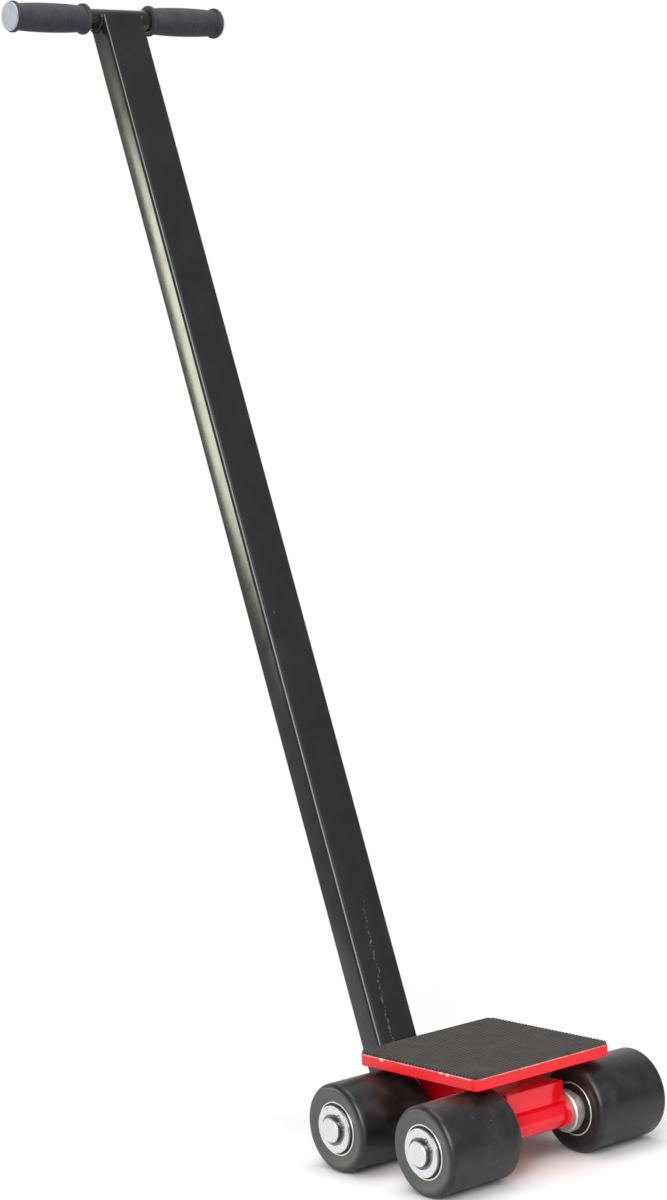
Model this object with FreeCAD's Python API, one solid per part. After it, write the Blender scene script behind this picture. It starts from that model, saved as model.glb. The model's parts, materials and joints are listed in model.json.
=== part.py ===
import FreeCAD, Part
import math
import os

from FreeCAD import Vector

# Steerable machine skate: four nylon rollers under a short steel chassis, a square load plate that swivels
# on a thrust bearing, and a tilting drawbar with a T-bar and two grips.
# Millimetres. X runs along the axles, +Y points to the drawbar, +Z is up.
# The origin is the centre of the pad's top face, where the load rests, on the swivel axis.

# Load plate and pad
plate_size = 170.0
plate_thickness = 11.0
plate_corner_radius = 7.0
plate_edge_chamfer = 0.6
pad_thickness = 2.5
pad_inset = 1.0

# Rollers
roller_diameter = 85.0
roller_width = 86.4
roller_edge_radius = 6.0
roller_dish_depth = 1.6
roller_rim_wall = 1.0
roller_hub_wall = 2.0
roller_shoulder = 3.5
roller_gap = 42.0
plate_gap = 5.5

# Deep-groove roller bearings, 25 x 52 x 15
axle_diameter = 25.0
race_wall = 3.8
race_space = 5.9
race_chamfer = 0.5
ball_diameter = 7.94
ball_count = 9
cage_wall = 2.6
cage_side_wall = 1.0
cage_gap = 0.83
seal_thickness = 1.2
seal_inset = 0.5
seal_lip = 1.4
seal_gap = 0.35

# Axle stack
axle_tube_wall = 1.0
tube_end_margin = 2.0
spacer_length = 9.4
spacer_nose_length = 3.6
spacer_wall = 7.5
spacer_chamfer = 1.3
sleeve_wall = 3.5
axle_washer_thickness = 3.2
axle_washer_margin = 2.1
axle_overhang = 3.4
axle_end_chamfer = 1.2
circlip_thickness = 1.2
circlip_groove_depth = 0.55

# Retaining ring proportions, as shares of the shaft's radius
circlip_beam_share = 0.19
circlip_offset_share = 0.04
circlip_eye_share = 0.2
circlip_eye_hole_share = 0.075
circlip_gap_angle = 18.0
circlip_turn = 50.0

# Kingpin and thrust bearing, 40 x 60 x 13
kingpin_diameter = 40.0
kingpin_tail = 3.0
kingpin_chamfer = 1.5
kingpin_washer_wall = 9.0
kingpin_washer_thickness = 2.5
kingpin_clip_thickness = 1.75
kingpin_groove_depth = 1.25
kingpin_end_play = 0.2
thrust_height = 13.0
thrust_race_width = 10.0
thrust_race_gap = 4.2
thrust_housing_clearance = 0.5
thrust_ball_diameter = 6.35
thrust_ball_count = 18
thrust_cage_width = 7.8
thrust_cage_thickness = 2.4

# Chassis
bar_margin = 6.0
bar_overhang = 6.0
bar_chamfer = 0.8
saddle_depth = 1.6
seat_margin = 1.0
seat_height = 3.0
block_height = 25.0
block_gap = 2.5
block_corner_radius = 8.0
lug_thickness = 6.0
lug_tube_wall = 7.0

# Drawbar and its hinge
drawbar_lean = 18.35
drawbar_width = 50.0
drawbar_depth = 30.0
drawbar_wall = 1.25
drawbar_corner_radius = 4.0
drawbar_reach = 1155.5
drawbar_plate_gap = 9.2
drawbar_roller_gap = 4.0
foot_wall = 9.5
hinge_diameter = 16.0
hinge_sleeve_wall = 2.5
hinge_eye_wall = 8.0
hinge_hole_clearance = 0.2
hinge_end_play = 0.2
hinge_washer_wall = 7.0
hinge_washer_thickness = 3.0
hinge_thread_tail = 4.0
hinge_tip_chamfer = 1.0
hex_flats_share = 1.5
hex_head_share = 0.625
hex_nut_share = 0.925
hex_chamfer_share = 0.95

# T-bar and grips
tbar_diameter = 22.0
tbar_wall = 1.5
tbar_half_length = 130.7
tbar_proud = 12.2
grip_gap = 14.6
grip_end_wall = 2.4
grip_middle_wall = 4.3
grip_flange_wall = 5.2
grip_flange_width = 4.5
grip_flange_fillet = 1.2
cap_thickness = 2.0
cap_wall = 4.0
cap_plug_length = 12.0
cap_fillet = 0.7

# Clearances and overrun
fit_clearance = 0.02
running_clearance = 0.05
ball_clearance = 0.06
groove_clearance = 0.05
overrun = 1.0

# Derived bearing sizes
axle_radius = axle_diameter / 2
ball_radius = ball_diameter / 2
inner_shoulder_radius = axle_radius + race_wall
outer_shoulder_radius = inner_shoulder_radius + race_space
bearing_radius = outer_shoulder_radius + race_wall
pitch_radius = (inner_shoulder_radius + outer_shoulder_radius) / 2
cage_width = ball_diameter + 2 * cage_side_wall
bearing_width = cage_width + 2 * (cage_gap + seal_thickness + seal_inset)
seal_radius = bearing_radius - seal_lip
spacer_radius = axle_radius + spacer_wall
sleeve_radius = axle_radius + sleeve_wall
sleeve_length = roller_width - 2 * (roller_dish_depth + bearing_width)
axle_washer_radius = seal_radius - axle_washer_margin

# Derived heights, from the pad's top face down to the floor
roller_radius = roller_diameter / 2
plate_top = -pad_thickness
plate_bottom = plate_top - plate_thickness
thrust_bottom = plate_bottom - thrust_height
bar_top = thrust_bottom - seat_height
axle_z = plate_bottom - plate_gap - roller_radius
axle_tube_radius = axle_radius + axle_tube_wall
bar_bottom = axle_z + axle_tube_radius - saddle_depth
block_bottom = bar_bottom - block_height

# Derived places across and along the chassis
kingpin_radius = kingpin_diameter / 2
thrust_radius = kingpin_radius + thrust_race_width
thrust_pitch_radius = (kingpin_radius + thrust_radius) / 2
bar_width = 2 * (thrust_radius + bar_margin)
axle_y = (roller_diameter + roller_gap) / 2
bar_length = 2 * (axle_y + bar_overhang)
lug_inner = bar_width / 2 - lug_thickness
block_length = 2 * (axle_y - axle_tube_radius - block_gap)
axle_tube_length = bar_width + 2 * tube_end_margin

# Derived places along an axle, measured outward from the middle of the skate
spacer_shoulder = axle_tube_length / 2 + spacer_length
spacer_end = spacer_shoulder + spacer_nose_length
inner_bearing_middle = spacer_end + bearing_width / 2
sleeve_start = spacer_end + bearing_width
outer_bearing_start = sleeve_start + sleeve_length
outer_bearing_middle = outer_bearing_start + bearing_width / 2
washer_start = outer_bearing_start + bearing_width
circlip_start = washer_start + axle_washer_thickness
axle_half_length = circlip_start + circlip_thickness + axle_overhang
roller_start = spacer_end - roller_dish_depth
roller_end = washer_start + roller_dish_depth

# Derived hinge place: the tube's back clears the turning plate's corners, and the bolt clears the rollers
lean = math.radians(drawbar_lean)
hinge_radius = hinge_diameter / 2
hinge_sleeve_radius = hinge_radius + hinge_sleeve_wall
hinge_eye_radius = hinge_radius + hinge_eye_wall
hex_flats = hinge_diameter * hex_flats_share
hex_radius = hex_flats / math.sqrt(3)
hinge_z = axle_z
corner_reach = math.sqrt(2) * (plate_size / 2 - plate_corner_radius) + plate_corner_radius
tube_back_at_hinge = drawbar_depth / 2 / math.cos(lean) - (plate_bottom - hinge_z) * math.tan(lean)
hinge_y_for_plate = corner_reach + drawbar_plate_gap + tube_back_at_hinge
hinge_y_for_rollers = axle_y + roller_radius + hinge_eye_radius + drawbar_roller_gap
hinge_y = max(hinge_y_for_plate, hinge_y_for_rollers)
hinge_washer_radius = hinge_radius + hinge_washer_wall
hinge_washer_end = bar_width / 2 + hinge_washer_thickness

# Derived drawbar sizes
tbar_radius = tbar_diameter / 2
tube_end = drawbar_reach + tbar_radius - tbar_proud
foot_length = hinge_sleeve_radius + foot_wall
grip_start = drawbar_width / 2 + grip_gap

origin = Vector(0, 0, 0)
along_x = Vector(1, 0, 0)
along_z = Vector(0, 0, 1)

SIDES = {"left": -1, "right": 1}
ENDS = {"front": 1, "rear": -1}


def rod_x(radius, start, end):
    """A cylinder along X, about the X axis."""
    return Part.makeCylinder(radius, end - start, Vector(start, 0, 0), along_x)


def ring_x(outer, inner, start, end):
    """A tube along X, about the X axis."""
    bore = rod_x(inner, start - overrun, end + overrun)
    return rod_x(outer, start, end).cut(bore)


def rod_z(radius, bottom, top):
    """A cylinder along Z, about the Z axis."""
    return Part.makeCylinder(radius, top - bottom, Vector(0, 0, bottom), along_z)


def ring_z(outer, inner, bottom, top):
    """A tube along Z, about the Z axis."""
    bore = rod_z(inner, bottom - overrun, top + overrun)
    return rod_z(outer, bottom, top).cut(bore)


def block(size_x, size_y, bottom, top):
    """A box centred on the Z axis."""
    corner = Vector(-size_x / 2, -size_y / 2, bottom)
    return Part.makeBox(size_x, size_y, top - bottom, corner)


def upright_edges(shape):
    """The straight edges of a shape that run along Z."""
    edges = []
    for edge in shape.Edges:
        if isinstance(edge.Curve, Part.Line) and abs(edge.Curve.Direction.z) > math.cos(math.radians(1)):
            edges.append(edge)
    return edges


def rim_edges(shape, radius):
    """The circular edges of a shape that have this radius."""
    edges = []
    for edge in shape.Edges:
        if isinstance(edge.Curve, Part.Circle) and math.isclose(edge.Curve.Radius, radius, rel_tol=1e-6):
            edges.append(edge)
    return edges


def flat_rim_edges(shape, *heights):
    """The edges of a shape that lie flat at one of these heights."""
    edges = []
    for edge in shape.Edges:
        box = edge.BoundBox
        for height in heights:
            if math.isclose(box.ZMin, height, abs_tol=1e-4) and math.isclose(box.ZMax, height, abs_tol=1e-4):
                edges.append(edge)
    return edges


def moved(shape, x, y, z):
    """A copy of a shape, moved."""
    copy = shape.copy()
    copy.translate(Vector(x, y, z))
    return copy


def mirrored(shape):
    """A copy of a shape, mirrored left to right."""
    return shape.mirror(origin, along_x)


def save(name, *solids):
    """Write one node, a single solid or a group of like solids."""
    shape = solids[0] if len(solids) == 1 else Part.makeCompound(list(solids))
    shape.exportStep("parts/" + name + ".step")


def around(count, axis, shape):
    """Copies of a shape, evenly spaced in a circle about an axis through the origin."""
    copies = []
    for index in range(count):
        copy = shape.copy()
        copy.rotate(origin, axis, index * 360 / count)
        copies.append(copy)
    return copies


def on_axle(shape, end):
    """A shape made about the X axis, moved to the front or rear axle."""
    return moved(shape, 0, ENDS[end] * axle_y, axle_z)


def on_side(shape, side):
    """A shape made on the right, mirrored if it belongs on the left."""
    return mirrored(shape) if side == "left" else shape


def load_plate():
    """Square steel plate with rounded corners, broken edges and the kingpin's hole."""
    plate = block(plate_size, plate_size, plate_bottom, plate_top)
    plate = plate.makeFillet(plate_corner_radius, upright_edges(plate))
    plate = plate.makeChamfer(plate_edge_chamfer, flat_rim_edges(plate, plate_bottom, plate_top))
    return plate.cut(rod_z(kingpin_radius + fit_clearance, plate_bottom - overrun, plate_top + overrun))


def rubber_pad():
    """Flat mat that covers the plate and the end of the kingpin."""
    size = plate_size - 2 * pad_inset
    pad = block(size, size, plate_top, 0)
    return pad.makeFillet(plate_corner_radius - pad_inset, upright_edges(pad))


def retaining_ring(shaft_radius, groove_depth, thickness):
    """External circlip about the Z axis: an open ring, widest opposite its gap, with two drilled eyes."""
    seat = shaft_radius - groove_depth + groove_clearance
    beam = shaft_radius * (1 + circlip_beam_share)
    offset = shaft_radius * circlip_offset_share
    eye_radius = shaft_radius * circlip_eye_share
    eye_hole = shaft_radius * circlip_eye_hole_share
    eye_place = seat + eye_radius
    eye_angle = math.radians(circlip_gap_angle / 2) + math.asin(eye_radius / eye_place)
    body = Part.makeCylinder(beam, thickness, Vector(0, -offset, 0), along_z)
    holes = [Part.makeCylinder(seat, thickness + 2 * overrun, Vector(0, 0, -overrun), along_z)]
    for hand in (-1, 1):
        eye = Vector(hand * eye_place * math.sin(eye_angle), eye_place * math.cos(eye_angle), 0)
        body = body.fuse(Part.makeCylinder(eye_radius, thickness, eye, along_z))
        drill = eye - Vector(0, 0, overrun)
        holes.append(Part.makeCylinder(eye_hole, thickness + 2 * overrun, drill, along_z))
    reach = shaft_radius * 2
    half_gap = reach * math.tan(math.radians(circlip_gap_angle / 2))
    corners = [origin, Vector(-half_gap, reach, 0), Vector(half_gap, reach, 0), origin]
    wedge = Part.Face(Part.makePolygon(corners)).extrude(Vector(0, 0, thickness + 2 * overrun))
    holes.append(moved(wedge, 0, 0, -overrun))
    return body.cut(holes).removeSplitter().Solids[0]


def kingpin():
    """Plain pin, welded into the plate, with a groove for its circlip near the lower end."""
    clip_top = block_bottom - kingpin_end_play - kingpin_washer_thickness
    clip_bottom = clip_top - kingpin_clip_thickness
    end = clip_bottom - kingpin_tail
    pin = rod_z(kingpin_radius, end, plate_top)
    pin = pin.makeChamfer(kingpin_chamfer, flat_rim_edges(pin, end))
    groove_radius = kingpin_radius - kingpin_groove_depth
    return pin.cut(ring_z(kingpin_radius + overrun, groove_radius, clip_bottom - groove_clearance, clip_top))


def kingpin_washer():
    """Washer that runs under the kingpin block."""
    top = block_bottom - kingpin_end_play
    bottom = top - kingpin_washer_thickness
    return ring_z(kingpin_radius + kingpin_washer_wall, kingpin_radius + fit_clearance, bottom, top)


def kingpin_circlip():
    """Circlip that holds the washer and the kingpin up."""
    top = block_bottom - kingpin_end_play - kingpin_washer_thickness
    ring = retaining_ring(kingpin_radius, kingpin_groove_depth, kingpin_clip_thickness)
    return moved(ring, 0, 0, top - kingpin_clip_thickness)


def thrust_groove():
    """Track of the thrust balls, a torus about the swivel axis."""
    middle = Vector(0, 0, thrust_bottom + thrust_height / 2)
    return Part.makeTorus(thrust_pitch_radius, thrust_ball_diameter / 2 + ball_clearance, middle, along_z)


def upper_thrust_race():
    """Race that turns with the plate, seated on the kingpin."""
    bottom = plate_bottom - (thrust_height - thrust_race_gap) / 2
    return ring_z(thrust_radius, kingpin_radius + fit_clearance, bottom, plate_bottom).cut(thrust_groove())


def lower_thrust_race():
    """Race that lies on the chassis bar, clear of the kingpin."""
    top = thrust_bottom + (thrust_height - thrust_race_gap) / 2
    race = ring_z(thrust_radius, kingpin_radius + thrust_housing_clearance, thrust_bottom, top)
    return race.cut(thrust_groove())


def thrust_balls():
    """Balls of the thrust bearing."""
    place = Vector(thrust_pitch_radius, 0, thrust_bottom + thrust_height / 2)
    return around(thrust_ball_count, along_z, Part.makeSphere(thrust_ball_diameter / 2, place))


def thrust_cage():
    """Flat ring with a round pocket for each thrust ball."""
    middle = thrust_bottom + thrust_height / 2
    inner = thrust_pitch_radius - thrust_cage_width / 2
    outer = thrust_pitch_radius + thrust_cage_width / 2
    cage = ring_z(outer, inner, middle - thrust_cage_thickness / 2, middle + thrust_cage_thickness / 2)
    place = Vector(thrust_pitch_radius, 0, middle)
    pocket = Part.makeSphere(thrust_ball_diameter / 2 + ball_clearance, place)
    return cage.cut(around(thrust_ball_count, along_z, pocket))


def chassis_bar():
    """Thick flat bar along the skate, saddled on the axle tubes, with a raised seat and a kingpin bore."""
    bar = block(bar_width, bar_length, bar_bottom, bar_top)
    bar = bar.makeChamfer(bar_chamfer, bar.Edges)
    bar = bar.fuse(rod_z(thrust_radius + seat_margin, bar_bottom, thrust_bottom)).removeSplitter()
    holes = [rod_z(kingpin_radius + running_clearance, bar_bottom - overrun, thrust_bottom + overrun)]
    for end in ENDS:
        holes.append(on_axle(rod_x(axle_tube_radius + fit_clearance, -bar_width, bar_width), end))
    return bar.cut(holes)


def kingpin_block():
    """Block under the bar, between the axle tubes and the lugs, that steadies the kingpin."""
    body = block(2 * lug_inner, block_length, block_bottom, bar_bottom)
    body = body.makeFillet(block_corner_radius, upright_edges(body))
    return body.cut(rod_z(kingpin_radius + running_clearance, block_bottom - overrun, bar_bottom + overrun))


def axle_tube():
    """Tube that carries the axle."""
    half = axle_tube_length / 2
    return ring_x(axle_tube_radius, axle_radius + fit_clearance, -half, half)


def axle():
    """Round bar with broken ends and a circlip groove near each end."""
    bar = rod_x(axle_radius, -axle_half_length, axle_half_length)
    bar = bar.makeChamfer(axle_end_chamfer, rim_edges(bar, axle_radius))
    groove_radius = axle_radius - circlip_groove_depth
    groove_end = circlip_start + circlip_thickness + groove_clearance
    groove = ring_x(axle_radius + overrun, groove_radius, circlip_start, groove_end)
    return bar.cut([groove, mirrored(groove)])


def axle_spacer():
    """Collar against the axle tube, with a nose that bears on the inner ring alone."""
    bore = axle_radius + fit_clearance
    collar = ring_x(spacer_radius, bore, axle_tube_length / 2, spacer_shoulder)
    collar = collar.makeChamfer(spacer_chamfer, rim_edges(collar, spacer_radius))
    nose = ring_x(inner_shoulder_radius, bore, spacer_shoulder, spacer_end)
    return collar.fuse(nose).removeSplitter()


def distance_sleeve():
    """Sleeve on the axle that keeps the two inner rings apart."""
    return ring_x(sleeve_radius, axle_radius + fit_clearance, sleeve_start, outer_bearing_start)


def axle_washer():
    """Plain washer over the outer bearing."""
    return ring_x(axle_washer_radius, axle_radius + fit_clearance, washer_start, circlip_start)


def axle_circlip():
    """Circlip at the right end of an axle, its eyes up and towards the rear."""
    ring = retaining_ring(axle_radius, circlip_groove_depth, circlip_thickness)
    ring.rotate(origin, Vector(1, 1, 1), 120)
    ring.rotate(origin, along_x, circlip_turn)
    return moved(ring, circlip_start, 0, 0)


def ball_track():
    """Track of the bearing balls, a torus about the X axis."""
    return Part.makeTorus(pitch_radius, ball_radius + ball_clearance, origin, along_x)


def inner_ring():
    """Inner ring of a roller bearing, about the origin."""
    half = bearing_width / 2
    ring = ring_x(inner_shoulder_radius, axle_radius + fit_clearance, -half, half)
    return ring.cut(ball_track())


def outer_ring():
    """Outer ring of a roller bearing, recessed for a seal on each side, about the origin."""
    half = bearing_width / 2
    ring = rod_x(bearing_radius, -half, half)
    ring = ring.makeChamfer(race_chamfer, rim_edges(ring, bearing_radius))
    seat = half - seal_inset - seal_thickness
    recess = rod_x(seal_radius, seat, half + overrun)
    bore = rod_x(outer_shoulder_radius, -half, half)
    return ring.cut([bore, recess, mirrored(recess), ball_track()])


def seal():
    """Right-hand seal of a roller bearing, about the origin."""
    outer_face = bearing_width / 2 - seal_inset
    inner_radius = inner_shoulder_radius + seal_gap
    return ring_x(seal_radius, inner_radius, outer_face - seal_thickness, outer_face)


def bearing_balls():
    """Balls of a roller bearing, about the origin."""
    return around(ball_count, along_x, Part.makeSphere(ball_radius, Vector(0, 0, pitch_radius)))


def bearing_cage():
    """Ring with a round pocket for each ball of a roller bearing, about the origin."""
    inner = pitch_radius - cage_wall / 2
    outer = pitch_radius + cage_wall / 2
    ring = ring_x(outer, inner, -cage_width / 2, cage_width / 2)
    pocket = Part.makeSphere(ball_radius + ball_clearance, Vector(0, 0, pitch_radius))
    return ring.cut(around(ball_count, along_x, pocket))


def roller():
    """Right-hand nylon roller with rounded edges, dished faces and a bearing seat in each face."""
    body = rod_x(roller_radius, roller_start, roller_end)
    body = body.makeFillet(roller_edge_radius, rim_edges(body, roller_radius))
    rim = roller_radius - roller_edge_radius - roller_rim_wall
    hub = bearing_radius + roller_hub_wall
    inner_dish = Part.makeCone(rim, hub, roller_dish_depth, Vector(roller_start, 0, 0), along_x)
    outer_dish = Part.makeCone(hub, rim, roller_dish_depth, Vector(washer_start, 0, 0), along_x)
    seat_radius = bearing_radius + fit_clearance
    bore = rod_x(bearing_radius - roller_shoulder, roller_start - overrun, roller_end + overrun)
    inner_seat = rod_x(seat_radius, roller_start - overrun, sleeve_start)
    outer_seat = rod_x(seat_radius, outer_bearing_start, roller_end + overrun)
    return body.cut([inner_dish, outer_dish, bore, inner_seat, outer_seat])


def drawbar_lug():
    """Right-hand link plate, welded to the front axle tube and the bar, with an eye for the hinge bolt."""
    tube_eye = axle_tube_radius + lug_tube_wall
    span = hinge_y - axle_y
    slant = (tube_eye - hinge_eye_radius) / span
    rise = math.sqrt(1 - slant * slant)
    back = axle_y + tube_eye * slant
    front = hinge_y + hinge_eye_radius * slant
    back_top = Vector(0, back, axle_z + tube_eye * rise)
    back_bottom = Vector(0, back, axle_z - tube_eye * rise)
    front_top = Vector(0, front, hinge_z + hinge_eye_radius * rise)
    front_bottom = Vector(0, front, hinge_z - hinge_eye_radius * rise)
    outline = [
        Part.Arc(back_bottom, Vector(0, axle_y - tube_eye, axle_z), back_top).toShape(),
        Part.LineSegment(back_top, front_top).toShape(),
        Part.Arc(front_top, Vector(0, hinge_y + hinge_eye_radius, hinge_z), front_bottom).toShape(),
        Part.LineSegment(front_bottom, back_bottom).toShape(),
    ]
    plate = Part.Face(Part.Wire(outline)).extrude(Vector(lug_thickness, 0, 0))
    plate.translate(Vector(lug_inner, 0, 0))
    tube_hole = rod_x(axle_tube_radius + fit_clearance, 0, bar_width)
    bolt_hole = rod_x(hinge_radius + hinge_hole_clearance, 0, bar_width)
    bar_room = block(2 * bar_width, bar_length, bar_bottom, bar_top)
    return plate.cut([on_axle(tube_hole, "front"), at_hinge(bolt_hole), bar_room])


def hexagon(start, end):
    """Hexagonal prism along X with the faces' corners turned off."""
    corners = []
    for index in range(7):
        angle = math.radians(60 * index)
        corners.append(Vector(start, hex_radius * math.cos(angle), hex_radius * math.sin(angle)))
    prism = Part.Face(Part.makePolygon(corners)).extrude(Vector(end - start, 0, 0))
    turned = rod_x(hex_radius, start, end)
    depth = hex_radius * (1 - hex_chamfer_share)
    turned = turned.makeChamfer(depth, rim_edges(turned, hex_radius))
    return prism.common(turned)


def hinge_bolt():
    """Hexagon bolt across both lugs, its head on the left."""
    head_end = -hinge_washer_end
    head = hexagon(head_end - hinge_diameter * hex_head_share, head_end)
    tip = hinge_washer_end + hinge_diameter * hex_nut_share + hinge_thread_tail
    shank = rod_x(hinge_radius, head_end, tip)
    shank = shank.makeChamfer(hinge_tip_chamfer, flat_end_edges(shank, tip))
    return head.fuse(shank).removeSplitter()


def flat_end_edges(shape, place):
    """The edges of a shape that lie in the plane across X at this place."""
    return [e for e in shape.Edges if math.isclose(e.BoundBox.XMin, place, abs_tol=1e-4)]


def hinge_nut():
    """Hexagon nut on the right end of the bolt."""
    end = hinge_washer_end + hinge_diameter * hex_nut_share
    nut = hexagon(hinge_washer_end, end)
    return nut.cut(rod_x(hinge_radius + fit_clearance, hinge_washer_end - overrun, end + overrun))


def hinge_washer():
    """Right-hand washer between a lug and the bolt."""
    return ring_x(hinge_washer_radius, hinge_radius + fit_clearance, bar_width / 2, hinge_washer_end)


def at_hinge(shape):
    """A shape made about the X axis, moved to the hinge."""
    return moved(shape, 0, hinge_y, hinge_z)


def leaned(shape):
    """A drawbar piece made upright over the hinge, leaned forward and moved there."""
    copy = shape.copy()
    copy.rotate(origin, along_x, -drawbar_lean)
    return at_hinge(copy)


def drawbar_tube():
    """Rectangular tube with a hole for the hinge sleeve and an open notch for the T-bar."""
    body = block(drawbar_width, drawbar_depth, -foot_length, tube_end)
    body = body.makeFillet(drawbar_corner_radius, upright_edges(body))
    inner_width = drawbar_width - 2 * drawbar_wall
    inner_depth = drawbar_depth - 2 * drawbar_wall
    hollow = block(inner_width, inner_depth, -foot_length - overrun, tube_end + overrun)
    hollow = hollow.makeFillet(drawbar_corner_radius - drawbar_wall, upright_edges(hollow))
    sleeve_hole = rod_x(hinge_sleeve_radius + fit_clearance, -drawbar_width, drawbar_width)
    notch_radius = tbar_radius + fit_clearance
    seat = moved(rod_x(notch_radius, -drawbar_width, drawbar_width), 0, 0, drawbar_reach)
    mouth = block(2 * drawbar_width, 2 * notch_radius, drawbar_reach, drawbar_reach + tbar_diameter)
    return body.cut([hollow, sleeve_hole, seat, mouth])


def hinge_sleeve():
    """Sleeve welded through the foot of the tube, which turns on the bolt between the lugs."""
    half = lug_inner - hinge_end_play
    return ring_x(hinge_sleeve_radius, hinge_radius + running_clearance, -half, half)


def t_bar():
    """Round tube across the top of the drawbar."""
    tube = ring_x(tbar_radius, tbar_radius - tbar_wall, -tbar_half_length, tbar_half_length)
    return moved(tube, 0, 0, drawbar_reach)


def grip():
    """Right-hand grip: a barrel between two flanges, stretched over the T-bar."""
    bore = tbar_radius + fit_clearance
    end_radius = tbar_radius + grip_end_wall
    middle_radius = tbar_radius + grip_middle_wall
    flange_radius = tbar_radius + grip_flange_wall
    barrel_start = grip_start + grip_flange_width
    barrel_end = tbar_half_length - grip_flange_width
    first = Vector(barrel_start, end_radius, 0)
    middle = Vector((barrel_start + barrel_end) / 2, middle_radius, 0)
    last = Vector(barrel_end, end_radius, 0)
    around_first = [first, Vector(barrel_start, bore, 0)]
    around_last = [Vector(barrel_end, bore, 0), last]
    edges = [Part.Arc(last, middle, first).toShape()]
    for corners in (around_first, [around_first[1], around_last[0]], around_last):
        edges.append(Part.LineSegment(corners[0], corners[1]).toShape())
    barrel = Part.Face(Part.Wire(edges)).revolve(origin, along_x, 360)
    inner_flange = rod_x(flange_radius, grip_start, barrel_start)
    outer_flange = rod_x(flange_radius, barrel_end, tbar_half_length)
    pieces = []
    for flange in (inner_flange, outer_flange):
        pieces.append(flange.makeFillet(grip_flange_fillet, rim_edges(flange, flange_radius)))
    whole = barrel.fuse(pieces).cut(rod_x(bore, grip_start - overrun, tbar_half_length + overrun))
    return moved(whole.removeSplitter(), 0, 0, drawbar_reach)


def end_cap():
    """Right-hand cap: a disc over the grip's flange with a plug in the T-bar."""
    disc = rod_x(tbar_radius + cap_wall, tbar_half_length, tbar_half_length + cap_thickness)
    outer = flat_end_edges(disc, tbar_half_length + cap_thickness)
    disc = disc.makeFillet(cap_fillet, outer)
    plug_radius = tbar_radius - tbar_wall - fit_clearance
    plug = rod_x(plug_radius, tbar_half_length - cap_plug_length, tbar_half_length)
    return moved(disc.fuse(plug).removeSplitter(), 0, 0, drawbar_reach)


def save_turntable():
    """The load plate, what turns with it, and the caged thrust balls."""
    save("load_plate", load_plate())
    save("rubber_pad", rubber_pad())
    save("kingpin", kingpin())
    save("kingpin_washer", kingpin_washer())
    save("kingpin_circlip", kingpin_circlip())
    save("upper_thrust_race", upper_thrust_race())
    save("thrust_cage", thrust_cage())
    save("thrust_balls", *thrust_balls())


def save_chassis():
    """The welded frame, the lower race, the lugs and the hinge bolt."""
    save("chassis_bar", chassis_bar())
    save("kingpin_block", kingpin_block())
    save("lower_thrust_race", lower_thrust_race())
    for end in ENDS:
        save(end + "_axle_tube", on_axle(axle_tube(), end))
        save(end + "_axle", on_axle(axle(), end))
    for side in SIDES:
        save(side + "_drawbar_lug", on_side(drawbar_lug(), side))
    save("hinge_bolt", at_hinge(hinge_bolt()))
    save("hinge_nut", at_hinge(hinge_nut()))
    save("hinge_washers", at_hinge(hinge_washer()), at_hinge(mirrored(hinge_washer())))


def save_axle_stacks():
    """Pieces that stand still on the axles, one of each at each roller."""
    stacks = {
        "axle_spacers": [axle_spacer()],
        "distance_sleeves": [distance_sleeve()],
        "axle_washers": [axle_washer()],
        "axle_circlips": [axle_circlip()],
        "bearing_inner_rings": pair(inner_ring()),
    }
    for name, pieces in stacks.items():
        group = []
        for end in ENDS:
            for side in SIDES:
                group += [on_axle(on_side(piece, side), end) for piece in pieces]
        save(name, *group)


def pair(shape):
    """Two copies of a bearing piece, in the inner and the outer bearing of a right-hand roller."""
    return [moved(shape, inner_bearing_middle, 0, 0), moved(shape, outer_bearing_middle, 0, 0)]


def save_rollers():
    """The four rollers, each with its two bearings."""
    pieces = {
        "roller": [roller()],
        "outer_rings": pair(outer_ring()),
        "seals": pair(seal()) + pair(mirrored(seal())),
        "bearing_cages": pair(bearing_cage()),
        "bearing_balls": [moved_ball for ball in bearing_balls() for moved_ball in pair(ball)],
    }
    for end in ENDS:
        for side in SIDES:
            for name, shapes in pieces.items():
                group = [on_axle(on_side(shape, side), end) for shape in shapes]
                save(end + "_" + side + "_" + name, *group)


def save_drawbar():
    """The drawbar, its T-bar and its grips."""
    save("drawbar_tube", leaned(drawbar_tube()))
    save("hinge_sleeve", leaned(hinge_sleeve()))
    save("t_bar", leaned(t_bar()))
    for side in SIDES:
        save(side + "_grip", leaned(on_side(grip(), side)))
        save(side + "_end_cap", leaned(on_side(end_cap(), side)))


os.makedirs("parts", exist_ok=True)
save_turntable()
save_chassis()
save_axle_stacks()
save_rollers()
save_drawbar()
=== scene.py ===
import json
import math

import bpy
from mathutils import Matrix, Vector


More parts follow.
